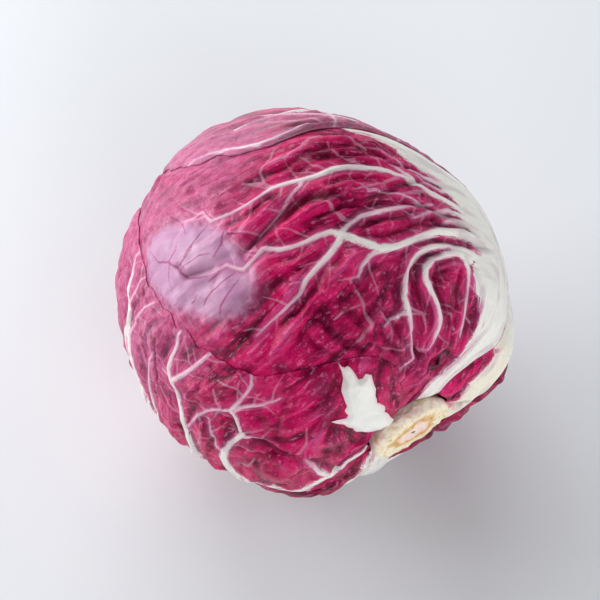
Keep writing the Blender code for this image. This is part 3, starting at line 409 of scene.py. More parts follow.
LINING_OUTLINE = [
    (150, 14.4), (170, 14), (-170, 14.4), (-160, 30), (-148, 50), (-140, 74), (-138, 98),
    (-142, 122), (-152, 142), (178, 157), (140, 161), (112, 152), (104, 132), (104, 108), (110, 84),
    (118, 60), (130, 38), (140, 24)]
LINING_MIDRIB = [
    (165, 17, 6), (170, 36, 7), (172, 60, 6), (172, 85, 4.5), (172, 110, 3), (168, 132, 1.6)]

TORN_OUTLINE = [
    (30, 13.4), (29, 18), (27.5, 23.9), (24.6, 29), (25.5, 31.5), (23.3, 34.9), (20.8, 37.2),
    (20, 40.2), (18.5, 42.3), (20, 44), (21.9, 43.3), (24, 43.9), (23.1, 47.2), (23.3, 49.4),
    (25.1, 52.4), (25.3, 49.4), (26.8, 47.6), (29.6, 46), (31.9, 44.5), (33.3, 42.4), (35.6, 39.3),
    (38.1, 38.7), (39.4, 36.4), (41.6, 35.9), (43.2, 37.4), (46.1, 39.5), (45.1, 35), (46.6, 30.6),
    (50.2, 25.6), (55, 16.5), (54, 15)]

MAP_STEP = 2.0               # degrees between the points of a margin's map
MAP_TURNS = np.arange(-180.0, 180.0 + MAP_STEP, MAP_STEP)
MAP_REACHES = np.arange(0.0, 180.0 + MAP_STEP, MAP_STEP)


class Leaf:
    """One leaf's plan: where it lies, its outline, what is drawn on it, the cells along a side
    of its grid, and how far its blade swells and wrinkles. A torn leaf has a ragged outline
    with no waves, and the patch of painted window reflection uses the same plan."""

    def __init__(self, name, centre, outline, midrib=(), ribs=(), veins=(), creases=(),
                 lifts=(), bloom=None, cells=200, puff=0.8, wrinkled=0.8, torn=False):
        self.name = name
        self.centre = direction(*centre)
        self.ribs = ([list(midrib)] if midrib else []) + list(ribs)
        self.veins = veins
        self.creases = creases
        self.lifts = lifts
        self.bloom = bloom
        self.cells = max(24, int(cells * FINE))
        self.puff = puff
        self.wrinkled = wrinkled
        self.torn = torn
        self.ahead = unit(STEM_AXIS - self.centre * (STEM_AXIS @ self.centre))
        self.aside = np.cross(self.centre, self.ahead)
        self.measure_rim(outline)
        self.map_margin()

    def polar(self, rays):
        """Angle from the blade centre, and the bearing round it, in radians."""
        away = np.arccos(np.clip(rays @ self.centre, -1.0, 1.0))
        return away, np.arctan2(rays @ self.aside, rays @ self.ahead)

    def rays_at(self, away, bearing):
        """The rays at angles from the blade centre and bearings round it."""
        round_it = (np.cos(bearing)[:, None] * self.ahead
                    + np.sin(bearing)[:, None] * self.aside)
        return np.cos(away)[:, None] * self.centre + np.sin(away)[:, None] * round_it

    def measure_rim(self, outline):
        """The rim's distance from the blade centre, for each quarter degree of bearing."""
        away, bearing = self.polar(direction(*zip(*outline)))
        order = np.argsort(bearing)
        self.bearings = np.radians(np.arange(-180.0, 180.0, 0.25))
        exact = np.interp(self.bearings, bearing[order], away[order], period=2 * math.pi)
        self.soft_rim = blur_ring(exact, 20 if self.torn else 48)
        if self.torn:
            self.rim = exact
            return
        shift = Vector((0, 0, len(self.name)))
        rough = np.array([noise.fractal(Vector((math.cos(b), math.sin(b), 0.37)) * 9.0 + shift,
                                        0.9, 2.2, 4) for b in self.bearings])
        wave = np.sin(26 * self.bearings + len(self.name)) + 0.6 * np.sin(41 * self.bearings)
        foot = ramp(0.35, 0.7, np.abs(np.arccos(np.cos(self.bearings))))
        self.rim = (blur_ring(exact, 7)
                    + foot * (WAVE_IN_PLAN * wave + NOTCHES * rough) / HEAD_RADIUS)

    def rim_at(self, bearing, rim):
        return np.interp(bearing, self.bearings, rim, period=2 * math.pi)

    def map_margin(self):
        """Signed distance in mm to the margin (inside is positive), mapped once."""
        turns, reaches = np.meshgrid(MAP_TURNS, MAP_REACHES, indexing="ij")
        rays = direction(turns.ravel(), reaches.ravel())
        ring = self.rays_at(self.rim[::5], self.bearings[::5])
        apart, _ = distance_to_line(rays, ring, closed=True)
        away, bearing = self.polar(rays)
        signed = np.where(away < self.rim_at(bearing, self.rim), apart, -apart)
        self.margin_map = signed.reshape(turns.shape)

    def margin(self, rays):
        """Signed distance in mm to the margin, read from its map."""
        turn, reach = angles(rays)
        return read_grid(self.margin_map, (turn + 180.0) / MAP_STEP, reach / MAP_STEP)


def blur_ring(values, reach):
    """A ring of values, averaged with their neighbours by a bell-shaped weight."""
    weights = np.exp(-0.5 * (np.arange(-3 * reach, 3 * reach + 1) / reach) ** 2)
    padded = np.concatenate((values[-3 * reach:], values, values[:3 * reach]))
    return np.convolve(padded, weights / weights.sum(), mode="valid")


def read_grid(values, column, row):
    """Values of a grid between its points."""
    column = np.clip(column, 0, values.shape[0] - 1.001)
    row = np.clip(row, 0, values.shape[1] - 1.001)
    left, low = column.astype(int), row.astype(int)
    across, along = column - left, row - low
    near = values[left, low] * (1 - across) + values[left + 1, low] * across
    far = values[left, low + 1] * (1 - across) + values[left + 1, low + 1] * across
    return near * (1 - along) + far * along


def traced_line(steps, spot_at, width_at):
    """The points of a rib or vein, from rules for its place and its half width."""
    line = []
    for step in range(steps):
        share = step / (steps - 1)
        turn, reach = angles(unit(spot_at(share))[None, :])
        line.append((turn[0], reach[0], width_at(share)))
    return line


def pinnate_ribs(midrib, pairs, length, lean):
    """Side ribs for a midrib: pairs of curved ribs that lean towards the tip."""
    ribs = []
    line = line_of(midrib)
    widths = [p[2] for p in midrib]
    for number in range(2 * pairs):
        place = 0.25 + 0.65 * number / (2 * pairs)
        at = place * (len(line) - 1)
        low = int(at)
        start = line[low] + (line[low + 1] - line[low]) * (at - low)
        ahead = unit(line[low + 1] - line[low])
        side = np.cross(start, ahead) * (1 if number % 2 else -1)
        width = 0.28 * (widths[low] + (widths[low + 1] - widths[low]) * (at - low)) + 0.3
        ribs.append(traced_line(
            6, lambda share: start + side * length * share + ahead * length * lean * share ** 1.6,
            lambda share: width + (0.2 - width) * share ** 0.8))
    return ribs


def branch_veins(ribs, spacing, length, seed):
    """Thin veins that leave the ribs on both sides, every few mm, and curve forward."""
    draw = np.random.default_rng(seed)
    veins = []
    for rib in ribs:
        line = line_of(rib)
        spans = np.linalg.norm(np.diff(line, axis=0), axis=1) * HEAD_RADIUS
        along = np.concatenate(([0.0], np.cumsum(spans)))
        side = 1
        at = spacing * draw.uniform(0.4, 1.0)
        while at < along[-1]:
            low = min(int(np.searchsorted(along, at)) - 1, len(line) - 2)
            share = (at - along[low]) / max(spans[low], 1e-6)
            start = unit(line[low] + (line[low + 1] - line[low]) * share)
            ahead = unit(line[low + 1] - line[low])
            out = np.cross(start, ahead) * side
            size = length * draw.uniform(0.5, 1.2) / HEAD_RADIUS
            lean = draw.uniform(0.3, 0.9)
            bend = draw.uniform(-0.25, 0.45)
            veins.append(traced_line(
                4, lambda part: start + (out * (part - bend * part * part * 0.5)
                                         + ahead * (lean * part + bend * part * part)) * size,
                lambda part: 0.32 * (1.0 - 0.75 * part)))
            side = -side
            at += spacing * draw.uniform(0.35, 0.75)
    return veins


def plan_leaves():
    """The leaves from the innermost to the outermost."""
    # the patch of painted reflection of the side window, planned like a torn leaf
    bloom = Leaf("bloom", (41, 99), WINDOW_REFLECTION_OUTLINE, torn=True)
    back_ribs = pinnate_ribs(BACK_MIDRIB, 5, 0.75, 0.9)
    right_ribs = pinnate_ribs(RIGHT_MIDRIB, 4, 0.45, 0.9)
    under_ribs = pinnate_ribs(UNDER_MIDRIB, 4, 0.5, 0.9)
    lining_ribs = pinnate_ribs(LINING_MIDRIB, 4, 0.6, 0.9)
    return [
        Leaf("leaf_inner_under", (172, 92), LINING_OUTLINE, LINING_MIDRIB, lining_ribs,
             branch_veins(lining_ribs, 9, 8, 11), cells=150, puff=0.5),
        Leaf("leaf_front", (-12, 80), FRONT_OUTLINE, FRONT_MIDRIB, FRONT_RIBS,
             FRONT_VEINS + branch_veins(FRONT_RIBS, 7.5, 7, 21), FRONT_CREASES,
             FRONT_LIFTS, bloom, cells=296, wrinkled=1.0),
        Leaf("leaf_back", (-100, 108), BACK_OUTLINE, BACK_MIDRIB, BACK_RIBS + back_ribs,
             branch_veins([BACK_MIDRIB] + back_ribs, 8, 9, 31), BACK_CREASES, BACK_LIFTS,
             cells=250, puff=0.7, wrinkled=0.5),
        Leaf("leaf_left", (92, 84), LEFT_OUTLINE, LEFT_MIDRIB, LEFT_RIBS,
             LEFT_VEINS + branch_veins(LEFT_RIBS, 7.5, 7, 41), LEFT_CREASES, LEFT_LIFTS,
             cells=296, wrinkled=0.75),
        Leaf("leaf_right", (-108, 62), RIGHT_OUTLINE, RIGHT_MIDRIB, right_ribs,
             branch_veins(right_ribs, 8, 8, 51), RIGHT_CREASES, cells=190, puff=0.6),
        Leaf("leaf_under", (178, 62), UNDER_OUTLINE, UNDER_MIDRIB, under_ribs,
             branch_veins(under_ribs, 8, 8, 61), lifts=UNDER_LIFTS, cells=190),
        Leaf("torn_leaf_base", (33, 29), TORN_OUTLINE, cells=110, puff=0.35, torn=True)]


# ---------------------------------------------------------------- distances on the head

def distance_to_line(rays, points, closed=False):
    """Distance in mm from rays to a line of unit vectors, and the place along it."""
    ends = np.roll(points, -1, axis=0) if closed else points[1:]
    starts = points if closed else points[:-1]
    best = np.full(len(rays), 1e9)
    place = np.zeros(len(rays))
    for number, (start, end) in enumerate(zip(starts, ends)):
        span = end - start
        part = np.clip((rays - start) @ span / max(span @ span, 1e-12), 0.0, 1.0)
        apart = np.linalg.norm(rays - start - part[:, None] * span, axis=1) * HEAD_RADIUS
        nearer = apart < best
        best[nearer] = apart[nearer]
        place[nearer] = number + part[nearer]
    return best, place


def near_lines(rays, lines, reach, tallness=None):
    """Signed distance to the nearest edge of lines with a half width (inside is negative),
    no further than reach mm; the height of rounded ridges along them; and the half width
    of the nearest one."""
    edge = np.full(len(rays), float(reach))
    girth = np.full(len(rays), 0.3)
    height = np.zeros(len(rays))
    for line in lines:
        points = line_of(line)
        middle = unit(points.mean(axis=0))
        spread = np.arccos(np.clip((points @ middle).min(), -1, 1))
        close = rays @ middle > math.cos(min(spread + reach / HEAD_RADIUS, math.pi))
        if not close.any():
            continue
        apart, place = distance_to_line(rays[close], points)
        half = np.interp(place, np.arange(len(line)), [p[2] for p in line])
        nearer = apart - half < edge[close]
        girth[np.flatnonzero(close)[nearer]] = half[nearer]
        edge[close] = np.minimum(edge[close], apart - half)
        if tallness:
            across = np.clip(apart / (half * 1.3 + 0.1), 0.0, 1.0)
            tall = tallness * np.minimum(half, 1.5) + 0.15 * np.maximum(half - 1.5, 0.0)
            height[close] = np.maximum(height[close], tall * (1.0 - across ** 2) ** 2)
    return edge, height, girth


def near_creases(rays, creases):
    """How deep the creases press the blade in, in mm, and their closeness from 0 to 1. A
    crease is a groove between two soft lips."""
    press = np.zeros(len(rays))
    close_by = np.zeros(len(rays))
    for crease in creases:
        apart, place = distance_to_line(rays, line_of(crease))
        depth = np.interp(place, np.arange(len(crease)), [p[2] for p in crease])
        wide = 0.6 + 0.3 * depth
        groove = np.exp(-(apart / wide) ** 2)
        lip = np.exp(-((apart - 2.6 * wide) / (1.5 * wide)) ** 2)
        press = press + 1.15 * depth * (groove - 0.32 * lip)
        close_by = np.maximum(close_by, np.clip(depth, 0, 1.2) / 1.2 * groove)
    return press, close_by


# ---------------------------------------------------------------- heights over the head

def head_shape(rays):
    """The head's outer radius: a ball, flattened round the stem and drawn out at its tip."""
    along = rays @ STEM_AXIS
    cheek = CHEEK_DEPTH / np.maximum(along, 0.05)
    radius = smaller(np.full(len(rays), HEAD_RADIUS), cheek, CHEEK_BLEND)
    radius = radius + TIP_LENGTH * np.maximum(-along, 0.0) ** 5
    dent = 1.0 - ramp(0.0, DENT_WIDTH, degrees_from(rays, *DENT_PLACE))
    jowl = 1.0 - ramp(0.0, JOWL_WIDTH, degrees_from(rays, *JOWL_PLACE))
    return radius - DENT_DEPTH * dent + JOWL_DEPTH * jowl


def heart_room(leaves, rays):
    """Radius of the innermost leaf's inside: the head less the leaves that lie there."""
    radius = head_shape(rays) - SKIN_ALLOWANCE - THICKNESS
    for leaf in leaves:
        if not leaf.torn:
            radius = radius - STEP * ramp(-SETTLE, SETTLE, leaf.margin(rays))
    return radius


def resting_limit(rays, depth):
    """The radius at which a ray comes within depth mm of the resting surface."""
    return (CENTRE_HEIGHT - depth) / np.maximum(-rays[:, 2], 0.05)


def bumps(rays, size, seed):
    """Soft bumps between -1 and 1, size in mm."""
    scale = HEAD_RADIUS / size
    shift = Vector((seed * 7.3, seed * 3.1, seed * 5.7))
    return np.array([noise.noise(Vector(ray) * scale + shift) for ray in rays])


def meridian_basis(rays):
    """Two directions on the head at each ray: towards the stem, and round it."""
    ahead = unit(STEM_AXIS - rays * (rays @ STEM_AXIS)[:, None])
    return ahead, np.cross(rays, ahead)


def flow_along_ribs(leaf, rays):
    """How the nearby ribs run at each ray, as the cosine and sine of twice the angle from the
    direction towards the stem, so that either way along a rib counts the same."""
    ahead, aside = meridian_basis(rays)
    twice_cos = np.full(len(rays), 2.0)
    twice_sin = np.zeros(len(rays))
    for rib in leaf.ribs:
        points = line_of(rib)
        for start, end in zip(points[:-1], points[1:]):
            span = end - start
            size = np.linalg.norm(span)
            apart = np.linalg.norm(rays - (start + end) / 2, axis=1)
            weight = size / (apart ** 3 + 0.0006)      # the nearest rib counts most
            angle = 2.0 * np.arctan2(aside @ (span / size), ahead @ (span / size))
            twice_cos = twice_cos + weight * np.cos(angle)
            twice_sin = twice_sin + weight * np.sin(angle)
    size = np.hypot(twice_cos, twice_sin)
    return twice_cos / size, twice_sin / size


def smear_along_flow(rays, cells, twice_cos, twice_sin, grains):
    """Grains of values on a leaf's square grid, smeared along the flow of its ribs."""
    shape = (cells + 1, cells + 1)
    grid = rays.reshape(*shape, 3)
    step_u, step_v = np.gradient(grid, axis=0), np.gradient(grid, axis=1)
    uu = np.sum(step_u * step_u, -1) + 1e-12
    vv = np.sum(step_v * step_v, -1) + 1e-12
    uv = np.sum(step_u * step_v, -1)
    det = np.maximum(uu * vv - uv * uv, 1e-14)
    moves = []
    scale = SMEAR_PACE / HEAD_RADIUS
    for basis in meridian_basis(rays):
        basis = basis.reshape(*shape, 3)
        along_u, along_v = np.sum(basis * step_u, -1), np.sum(basis * step_v, -1)
        moves.append(np.clip((along_u * vv - along_v * uv) / det * scale, -1.5, 1.5))
        moves.append(np.clip((along_v * uu - along_u * uv) / det * scale, -1.5, 1.5))
    twice_cos, twice_sin = twice_cos.reshape(shape), twice_sin.reshape(shape)
    columns, rows = np.meshgrid(*(np.arange(cells + 1.0),) * 2, indexing="ij")
    totals = [grain.copy() for grain in grains]
    for way in (1.0, -1.0):
        u, v = columns, rows
        for step in range(SMEAR_STEPS):
            angle = 0.5 * np.arctan2(read_grid(twice_sin, u, v), read_grid(twice_cos, u, v))
            cos, sin = np.cos(angle), np.sin(angle)
            parts = [read_grid(move, u, v) for move in moves]
            go_u = cos * parts[0] + sin * parts[2]
            go_v = cos * parts[1] + sin * parts[3]
            if step:      # the flow may point either way along a rib, so never turn back
                way = np.where(go_u * last_u + go_v * last_v < 0, -1.0, 1.0)
            last_u, last_v = go_u * way, go_v * way
            u, v = u + last_u, v + last_v
            totals = [total + read_grid(grain, u, v) for total, grain in zip(totals, grains)]
    return [np.clip(0.5 + 0.22 * ((total - total.mean()) / total.std()), 0.0, 1.0).ravel()
            for total in totals]


def wrinkling(leaf, rays):
    """How strongly a blade wrinkles: it lies smoother towards the head's tip."""
    return leaf.wrinkled * (1.0 - 0.5 * ramp(88.0, 120.0, angles(rays)[1]))


def plain_traits(count):
    """The distances and shares for the leaf finish, where nothing is near."""
    plain = {"rib": 6.0, "girth": 0.3, "pleat": 0.5, "calm": 1.0, "bloom": -12.0, "dark": 4.0,
             "painted_sheen": 0.0, "bruise": 12.0, "twice_cos": 1.0, "twice_sin": 0.0}
    return {name: np.full(count, value) for name, value in plain.items()}


def relief(leaf, number, rays):
    """Height of a leaf's outside over its plain blade, and the distances for its finish."""
    rib_edge, rib_height, girth = near_lines(rays, leaf.ribs, 12.0, RIB_HEIGHT)
    vein_edge, vein_height, _ = near_lines(rays, leaf.veins, 4.0, VEIN_HEIGHT)
    press, fold = near_creases(rays, leaf.creases)
    quilt = QUILT_RISE * ramp(0.0, 7.0, rib_edge) - QUILT_SINK
    blade = leaf.puff * 0.8 * bumps(rays, 22.0, number) + quilt
    for turn, reach, width, lift in leaf.lifts:
        blade = blade + lift * np.exp(-(mm_from(rays, turn, reach) / width) ** 2)
    open_blade = ramp(-0.5, 1.8, rib_edge)
    pucker = sum(height * bumps(rays, size, number + seed) for height, size, seed in PUCKERS)
    found = plain_traits(len(rays))
    found.update(rib=rib_edge, vein=vein_edge, fold=fold, girth=girth)
    inside = np.full(len(rays), -30.0)
    # the front leaf carries the patch of painted window reflection, with the veins seen in it and a
    # smoother blade there, and the bruise
    if leaf.bloom:
        inside = leaf.bloom.margin(rays)
        found["dark"] = near_lines(rays, WINDOW_REFLECTION_VEINS, 4.0)[0]
        found["bruise"] = np.minimum(mm_from(rays, *BRUISE), 12.0)
    calm = 1.0 - 0.7 * ramp(-9.0, 5.0, inside)
    found.update(bloom=np.clip(inside, -12.0, 6.0), calm=calm)
    # the share of painted sheen: a pale haze where the leaves catch the windows
    for turn, reach, width, share in PAINTED_SHEEN_PLACES:
        painted_sheen = share * (1.0 - ramp(0.4 * width, width, degrees_from(rays, turn, reach)))
        found["painted_sheen"] = np.maximum(found["painted_sheen"], painted_sheen)
    skin = pucker * wrinkling(leaf, rays) * (0.25 + 0.75 * open_blade) * calm - press
    skin = skin - VEIN_GROOVE * (1.0 - ramp(0.0, 1.1, vein_edge)) * open_blade
    skin = skin + np.maximum(rib_height, vein_height * 0.6)
    return blade, skin, found


def leaf_heights(leaves, number, rays):
    """Inner and outer radius of a leaf along each ray, and the traits for its finish."""
    leaf = leaves[number]
    room = heart_room(leaves, rays)
    for under in leaves[:number]:
        room = room + STEP * ramp(-CLIMB - CLEAR, -CLEAR, under.margin(rays))
    own = leaf.margin(rays)            # mm in from the leaf's own margin
    uncovered = np.ones(len(rays))
    covered = np.zeros(len(rays))
    for over in leaves[number + 1:]:
        beside = over.margin(rays)
        uncovered = uncovered * (1.0 - ramp(-CLIMB - CLEAR, -CLEAR, beside))
        covered = np.maximum(covered, ramp(1.5, 6.0, beside))
    room = room - DIP * covered
    blade, skin, traits = relief(leaf, number, rays)
    blade = blade * uncovered * ramp(-1.0, 8.0, own)
    if not leaf.torn:                  # the margin waves, but not by the stem
        _, bearing = leaf.polar(rays)
        wave = 0.5 + 0.5 * np.sin(WAVES_ROUND * bearing + number)
        wave = wave * (0.6 + 0.6 * bumps(rays, 14.0, number + 80))
        edge = 1.0 - ramp(0.0, 7.0, own)
        foot = ramp(22.0, 36.0, angles(rays)[1])
        blade = blade + WAVE_IN_HEIGHT * np.maximum(wave, 0.0) * edge * foot * uncovered
        for turn, reach, width, lift in leaf.lifts:
            near_edge = 1.0 - ramp(0.0, 10.0, own)
            swell = np.exp(-(mm_from(rays, turn, reach) / width) ** 2)
            blade = blade + 0.5 * lift * swell * near_edge * uncovered
    blade = np.maximum(blade, -DIP)
    inner = room + blade - 0.9 * GAP * (1.0 - ramp(0.0, 1.5, own))
    thick = EDGE_THICKNESS + (THICKNESS - EDGE_THICKNESS) * ramp(0.0, 2.0, own)
    outer = inner + thick + skin * uncovered * ramp(0.0, 3.0, own)
    outer = np.maximum(outer, inner + EDGE_THICKNESS)
    below = {"leaf_under": 0.0, "leaf_left": STEP, "leaf_right": STEP}
    depth = below.get(leaf.name, 2 * STEP)      # of the leaves that lie under this one
    inner = np.minimum(inner, resting_limit(rays, depth + THICKNESS))
    outer = np.minimum(outer, resting_limit(rays, depth))
    traits.update(free=uncovered, margin=np.clip(own, 0.0, 20.0))
    return inner, outer, traits


# ---------------------------------------------------------------- meshes

def rays_of(verts):
    return unit(np.array([vert.co[:] for vert in verts]))


def place_on_rays(verts, rays, radii):
    """Put each vert at its radius along its ray from the head's middle, in metres."""
    for vert, spot in zip(verts, (MIDDLE + rays * radii[:, None]) * MM):
        vert.co = spot


def leaf_sheet(bm, leaf, cells):
    """A grid of cells x cells quads, wrapped onto a unit ball within the leaf's rim."""
    verts = bmesh.ops.create_grid(bm, x_segments=cells, y_segments=cells, size=1.0)["verts"]
    flat = np.array([vert.co[:] for vert in verts])
    x, y = flat[:, 0], flat[:, 1]
    size = np.maximum(np.abs(x), np.abs(y))
    wide = np.abs(x) >= np.abs(y)
    safe_x = np.where(np.abs(x) < 1e-9, 1e-9, x)
    safe_y = np.where(np.abs(y) < 1e-9, 1e-9, y)
    bearing = np.where(wide, math.pi / 4 * y / safe_x + np.where(x < 0, math.pi, 0.0),
                       math.pi / 2 - math.pi / 4 * x / safe_y + np.where(y < 0, math.pi, 0.0))
    bearing = np.arctan2(np.sin(bearing), np.cos(bearing))
    rim, soft = leaf.rim_at(bearing, leaf.rim), leaf.rim_at(bearing, leaf.soft_rim)
    away = size * (soft + (rim - soft) * size ** 4)
    return verts, leaf.rays_at(away, bearing), flat


def add_object(name, data):
    thing = bpy.data.objects.new(name, data)
    bpy.context.scene.collection.objects.link(thing)
    return thing


def add_mesh(name, bm, material):
    mesh = bpy.data.meshes.new(name)
    bm.to_mesh(mesh)
    bm.free()
    mesh.materials.append(material)
    return add_object(name, mesh)


def make_piece(name, replaced, bm, material, traits):
    """A smooth-shaded piece from a bmesh, with its traits as point attributes."""
    bmesh.ops.recalc_face_normals(bm, faces=bm.faces)
    piece = add_mesh(name, bm, material)
    piece.data.polygons.foreach_set("use_smooth", [True] * len(piece.data.polygons))
    for trait, values in traits.items():
        layer = piece.data.attributes.new(trait, "FLOAT", "POINT")
        layer.data.foreach_set("value", np.asarray(values, dtype=np.float32))
    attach(piece, "root")
    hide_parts(replaced)


def build_leaf(leaves, number, material):
    """One leaf: a fine outer sheet, a plainer inner one, and the rim between them."""
    leaf = leaves[number]
    bm = bmesh.new()
    outside, out_rays, flat = leaf_sheet(bm, leaf, leaf.cells)
    inside, in_rays, _ = leaf_sheet(bm, leaf, max(12, leaf.cells // 4))
    _, outer, traits = leaf_heights(leaves, number, out_rays)
    inner, _, inside_traits = leaf_heights(leaves, number, in_rays)
    order = np.lexsort((flat[:, 1], flat[:, 0]))
    twice_cos, twice_sin = flow_along_ribs(leaf, out_rays)
    grid_rays = out_rays[order]
    fine = np.random.default_rng(number).random(len(order))
    soft = bumps(grid_rays, PLEAT_SIZE, number + 90)
    shape = (leaf.cells + 1, leaf.cells + 1)
    streak, pleat = np.empty(len(order)), np.empty(len(order))
    streak[order], pleat[order] = smear_along_flow(
        grid_rays, leaf.cells, twice_cos[order], twice_sin[order],
        [fine.reshape(shape), soft.reshape(shape)])
    open_blade = ramp(0.2, 2.2, traits["rib"]) * ramp(0.5, 3.0, traits["margin"])
    open_blade = open_blade * traits["calm"] * traits.pop("free")
    inside_traits.pop("free")
    folds = PLEAT_HEIGHT * (pleat - 0.5) * wrinkling(leaf, out_rays)
    lift = (STREAK_HEIGHT * (streak - 0.5) + folds) * open_blade
    outer = np.minimum(outer + lift * (not leaf.torn), resting_limit(out_rays, 0.0))
    place_on_rays(outside, out_rays, outer)
    place_on_rays(inside, in_rays, inner)
    traits.update(streak=streak, pleat=pleat, twice_cos=twice_cos, twice_sin=twice_sin)
    in_cos, in_sin = flow_along_ribs(leaf, in_rays)
    plain = np.full(len(in_rays), 0.5)
    inside_traits.update(streak=plain, pleat=plain, twice_cos=in_cos, twice_sin=in_sin)
    joined = {key: np.concatenate((traits[key], inside_traits[key])) for key in traits}
    inside_set = set(inside)
    rim = [edge for edge in bm.edges if edge.is_boundary]
    rim.sort(key=lambda edge: edge.verts[0] in inside_set)      # the outer sheet's rim first
    bmesh.ops.bridge_loops(bm, edges=rim)
    make_piece(leaf.name + "_grown", leaf.name, bm, material, joined)


def build_heart(leaves, material):
    """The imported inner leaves: one ball, stepped where their margins wrap over."""
    bm = bmesh.new()
    bmesh.ops.create_icosphere(bm, subdivisions=6 if FINE == 1.0 else 5, radius=1.0)
    rays = rays_of(bm.verts)
    turn, reach = angles(rays)
    wrap = HEART_MARGINS * (turn + 0.8 * reach + 6 * bumps(rays, 20.0, 5)) / 360.0
    share = wrap - np.floor(wrap)
    step = 1.3 * share * ramp(20.0, 60.0, reach)
    soft = 0.25 * bumps(rays, 8.0, 3) - 0.25
    radii = heart_room(leaves, rays) - GAP - step + soft
    stem_reach = np.degrees(np.arctan2(stem_width(np.radians(turn)), STEM_FOOT + 3.0))
    under_stem = 1.0 - ramp(0.8, 2.4, reach - stem_reach)
    flat = np.minimum(radii, (STEM_FOOT - GAP) / np.maximum(rays @ STEM_AXIS, 0.05))
    radii = radii + (flat - radii) * under_stem
    radii = np.minimum(radii, resting_limit(rays, 3 * STEP))
    place_on_rays(list(bm.verts), rays, radii)
    traits = plain_traits(len(rays))
    # the steps are kept as folds, which the leaf finish darkens with painted shade
    traits.update(vein=2.0 + 2.0 * bumps(rays, 6.0, 9), fold=1.0 - ramp(0.0, 0.08, share),
                  margin=np.clip(60.0 * (1 - share), 0, 20),
                  streak=0.5 + 0.4 * bumps(rays, 2.5, 13))
    make_piece("heart_grown", "heart", bm, material, traits)


def stem_width(turn):
    """Half width of the oval stem towards a turn in radians."""
    return 1.0 / np.hypot(np.cos(turn) / STEM_UPRIGHT, np.sin(turn) / STEM_ACROSS)


def build_stem(material):
    """The cut stem: a short oval cone with a rough wall, a worn rim and an uneven cut."""
    heights = np.linspace(0.0, 1.0, STEM_WALL_RINGS + 1)
    rings = list(zip(heights, np.interp(heights, *zip(*STEM_PROFILE))))
    rings += [(1.0, STEM_PROFILE[-1][1] * (1.0 - ring / STEM_FACE_RINGS))
              for ring in range(1, STEM_FACE_RINGS)]
    bm = bmesh.new()
    bmesh.ops.create_circle(bm, cap_ends=True, segments=STEM_SIDES, radius=1.0)
    loops = [list(bm.verts)]
    open_edges = list(bm.edges)
    for _ in rings[1:]:
        grown = bmesh.ops.extrude_edge_only(bm, edges=open_edges)["geom"]
        loops.append([item for item in grown if isinstance(item, bmesh.types.BMVert)])
        fresh = set(loops[-1])
        open_edges = [item for item in grown if isinstance(item, bmesh.types.BMEdge)
                      and fresh.issuperset(item.verts)]
    bmesh.ops.contextual_create(bm, geom=open_edges)
    bm.verts.index_update()
    # Extruding leaves the faces in a chance order, so they are put in the same one each run.
    bm.faces.sort(key=lambda face: min(vert.index for vert in face.verts)
                  + max(vert.index for vert in face.verts) / len(bm.verts))
    traits = {"from_axis": np.zeros(len(bm.verts)), "height": np.zeros(len(bm.verts))}
    for loop, (height, width) in zip(loops, rings):
        for vert in loop:
            turn = math.atan2(vert.co.y, vert.co.x)
            across = Vector((math.cos(turn), math.sin(turn), 0.0)) * width * STEM_REACH
            rough = noise.noise(across * 0.33 + Vector((0.0, 0.0, height * 2.0)))
            pitted = noise.noise(across * 1.1 + Vector((0.0, 0.0, height * 5.0)))
            near_cut = min(1.0, height / 0.7)
            out = width * stem_width(turn) * (0.97 + (0.03 * rough + 0.02 * pitted) * near_cut)
            level = STEM_FOOT + (STEM_CUT - STEM_FOOT) * height
            level += (0.55 * rough + 0.22 * pitted - 0.55) * near_cut ** 3
            spot = (MIDDLE + STEM_AXIS * level
                    + (TURN_UP * math.cos(turn) + TURN_LEFT * math.sin(turn)) * out)
            vert.co = Vector(spot * MM)
            traits["from_axis"][vert.index] = width * STEM_REACH
            traits["height"][vert.index] = height
    make_piece("stem_butt_cut", "stem_butt", bm, material, traits)


# ---------------------------------------------------------------- finishes

def colour(hex_code):
    """A linear colour from an sRGB hex value."""
    parts = [int(hex_code[i:i + 2], 16) / 255 for i in (1, 3, 5)]
    line = [p / 12.92 if p <= 0.04045 else ((p + 0.055) / 1.055) ** 2.4 for p in parts]
    return (*line, 1.0)


def feed(tree, made, links):
    """Give a node's inputs, by name or number, outputs, hex colours or other values."""
    for key, value in links.items():
        if isinstance(value, bpy.types.NodeSocket):
            tree.links.new(value, made.inputs[key])
        elif isinstance(value, str):
            made.inputs[key].default_value = colour(value)
        else:
            made.inputs[key].default_value = value


def node(tree, kind, links=(), out=0, **settings):
    """Add a node with its settings and links, and return one of its outputs."""
    made = tree.nodes.new("ShaderNode" + kind)
    for key, value in settings.items():
        setattr(made, key, value)
    feed(tree, made, links if isinstance(links, dict) else dict(enumerate(links)))
    return made.outputs[out]


def product(tree, *parts):
    """The product of parts. A part is an output or a number, or a smooth range from 0 to 1:
    (output, low, high), which may go on with other ends than 0 and 1."""
    result = None
    for part in parts:
        if isinstance(part, tuple):
            part = node(tree, "MapRange", part, interpolation_type="SMOOTHSTEP")
        result = part if result is None else node(tree, "Math", (result, part),
                                                  operation="MULTIPLY")
    return result


def sum_of(tree, total, *terms):
    """A total to start from and terms to add to it, each (output, weight)."""
    for value, weight in terms:
        total = node(tree, "Math", (value, weight, total), operation="MULTIPLY_ADD")
    return total


def layered(tree, tone, *covers):
    """A tone with others over it. Each cover is a tone and the parts of its share."""
    for over, *parts in covers:
        tone = node(tree, "Mix", {0: product(tree, *parts), 6: tone, 7: over}, 2,
                    data_type="RGBA")
    return tone


def patches(place, size, detail=2.0, roughness=0.5):
    """Inputs of a noise whose patches are about size mm across."""
    return {"Vector": place, "Scale": 1.0 / (size * MM), "Detail": detail,
            "Roughness": roughness}


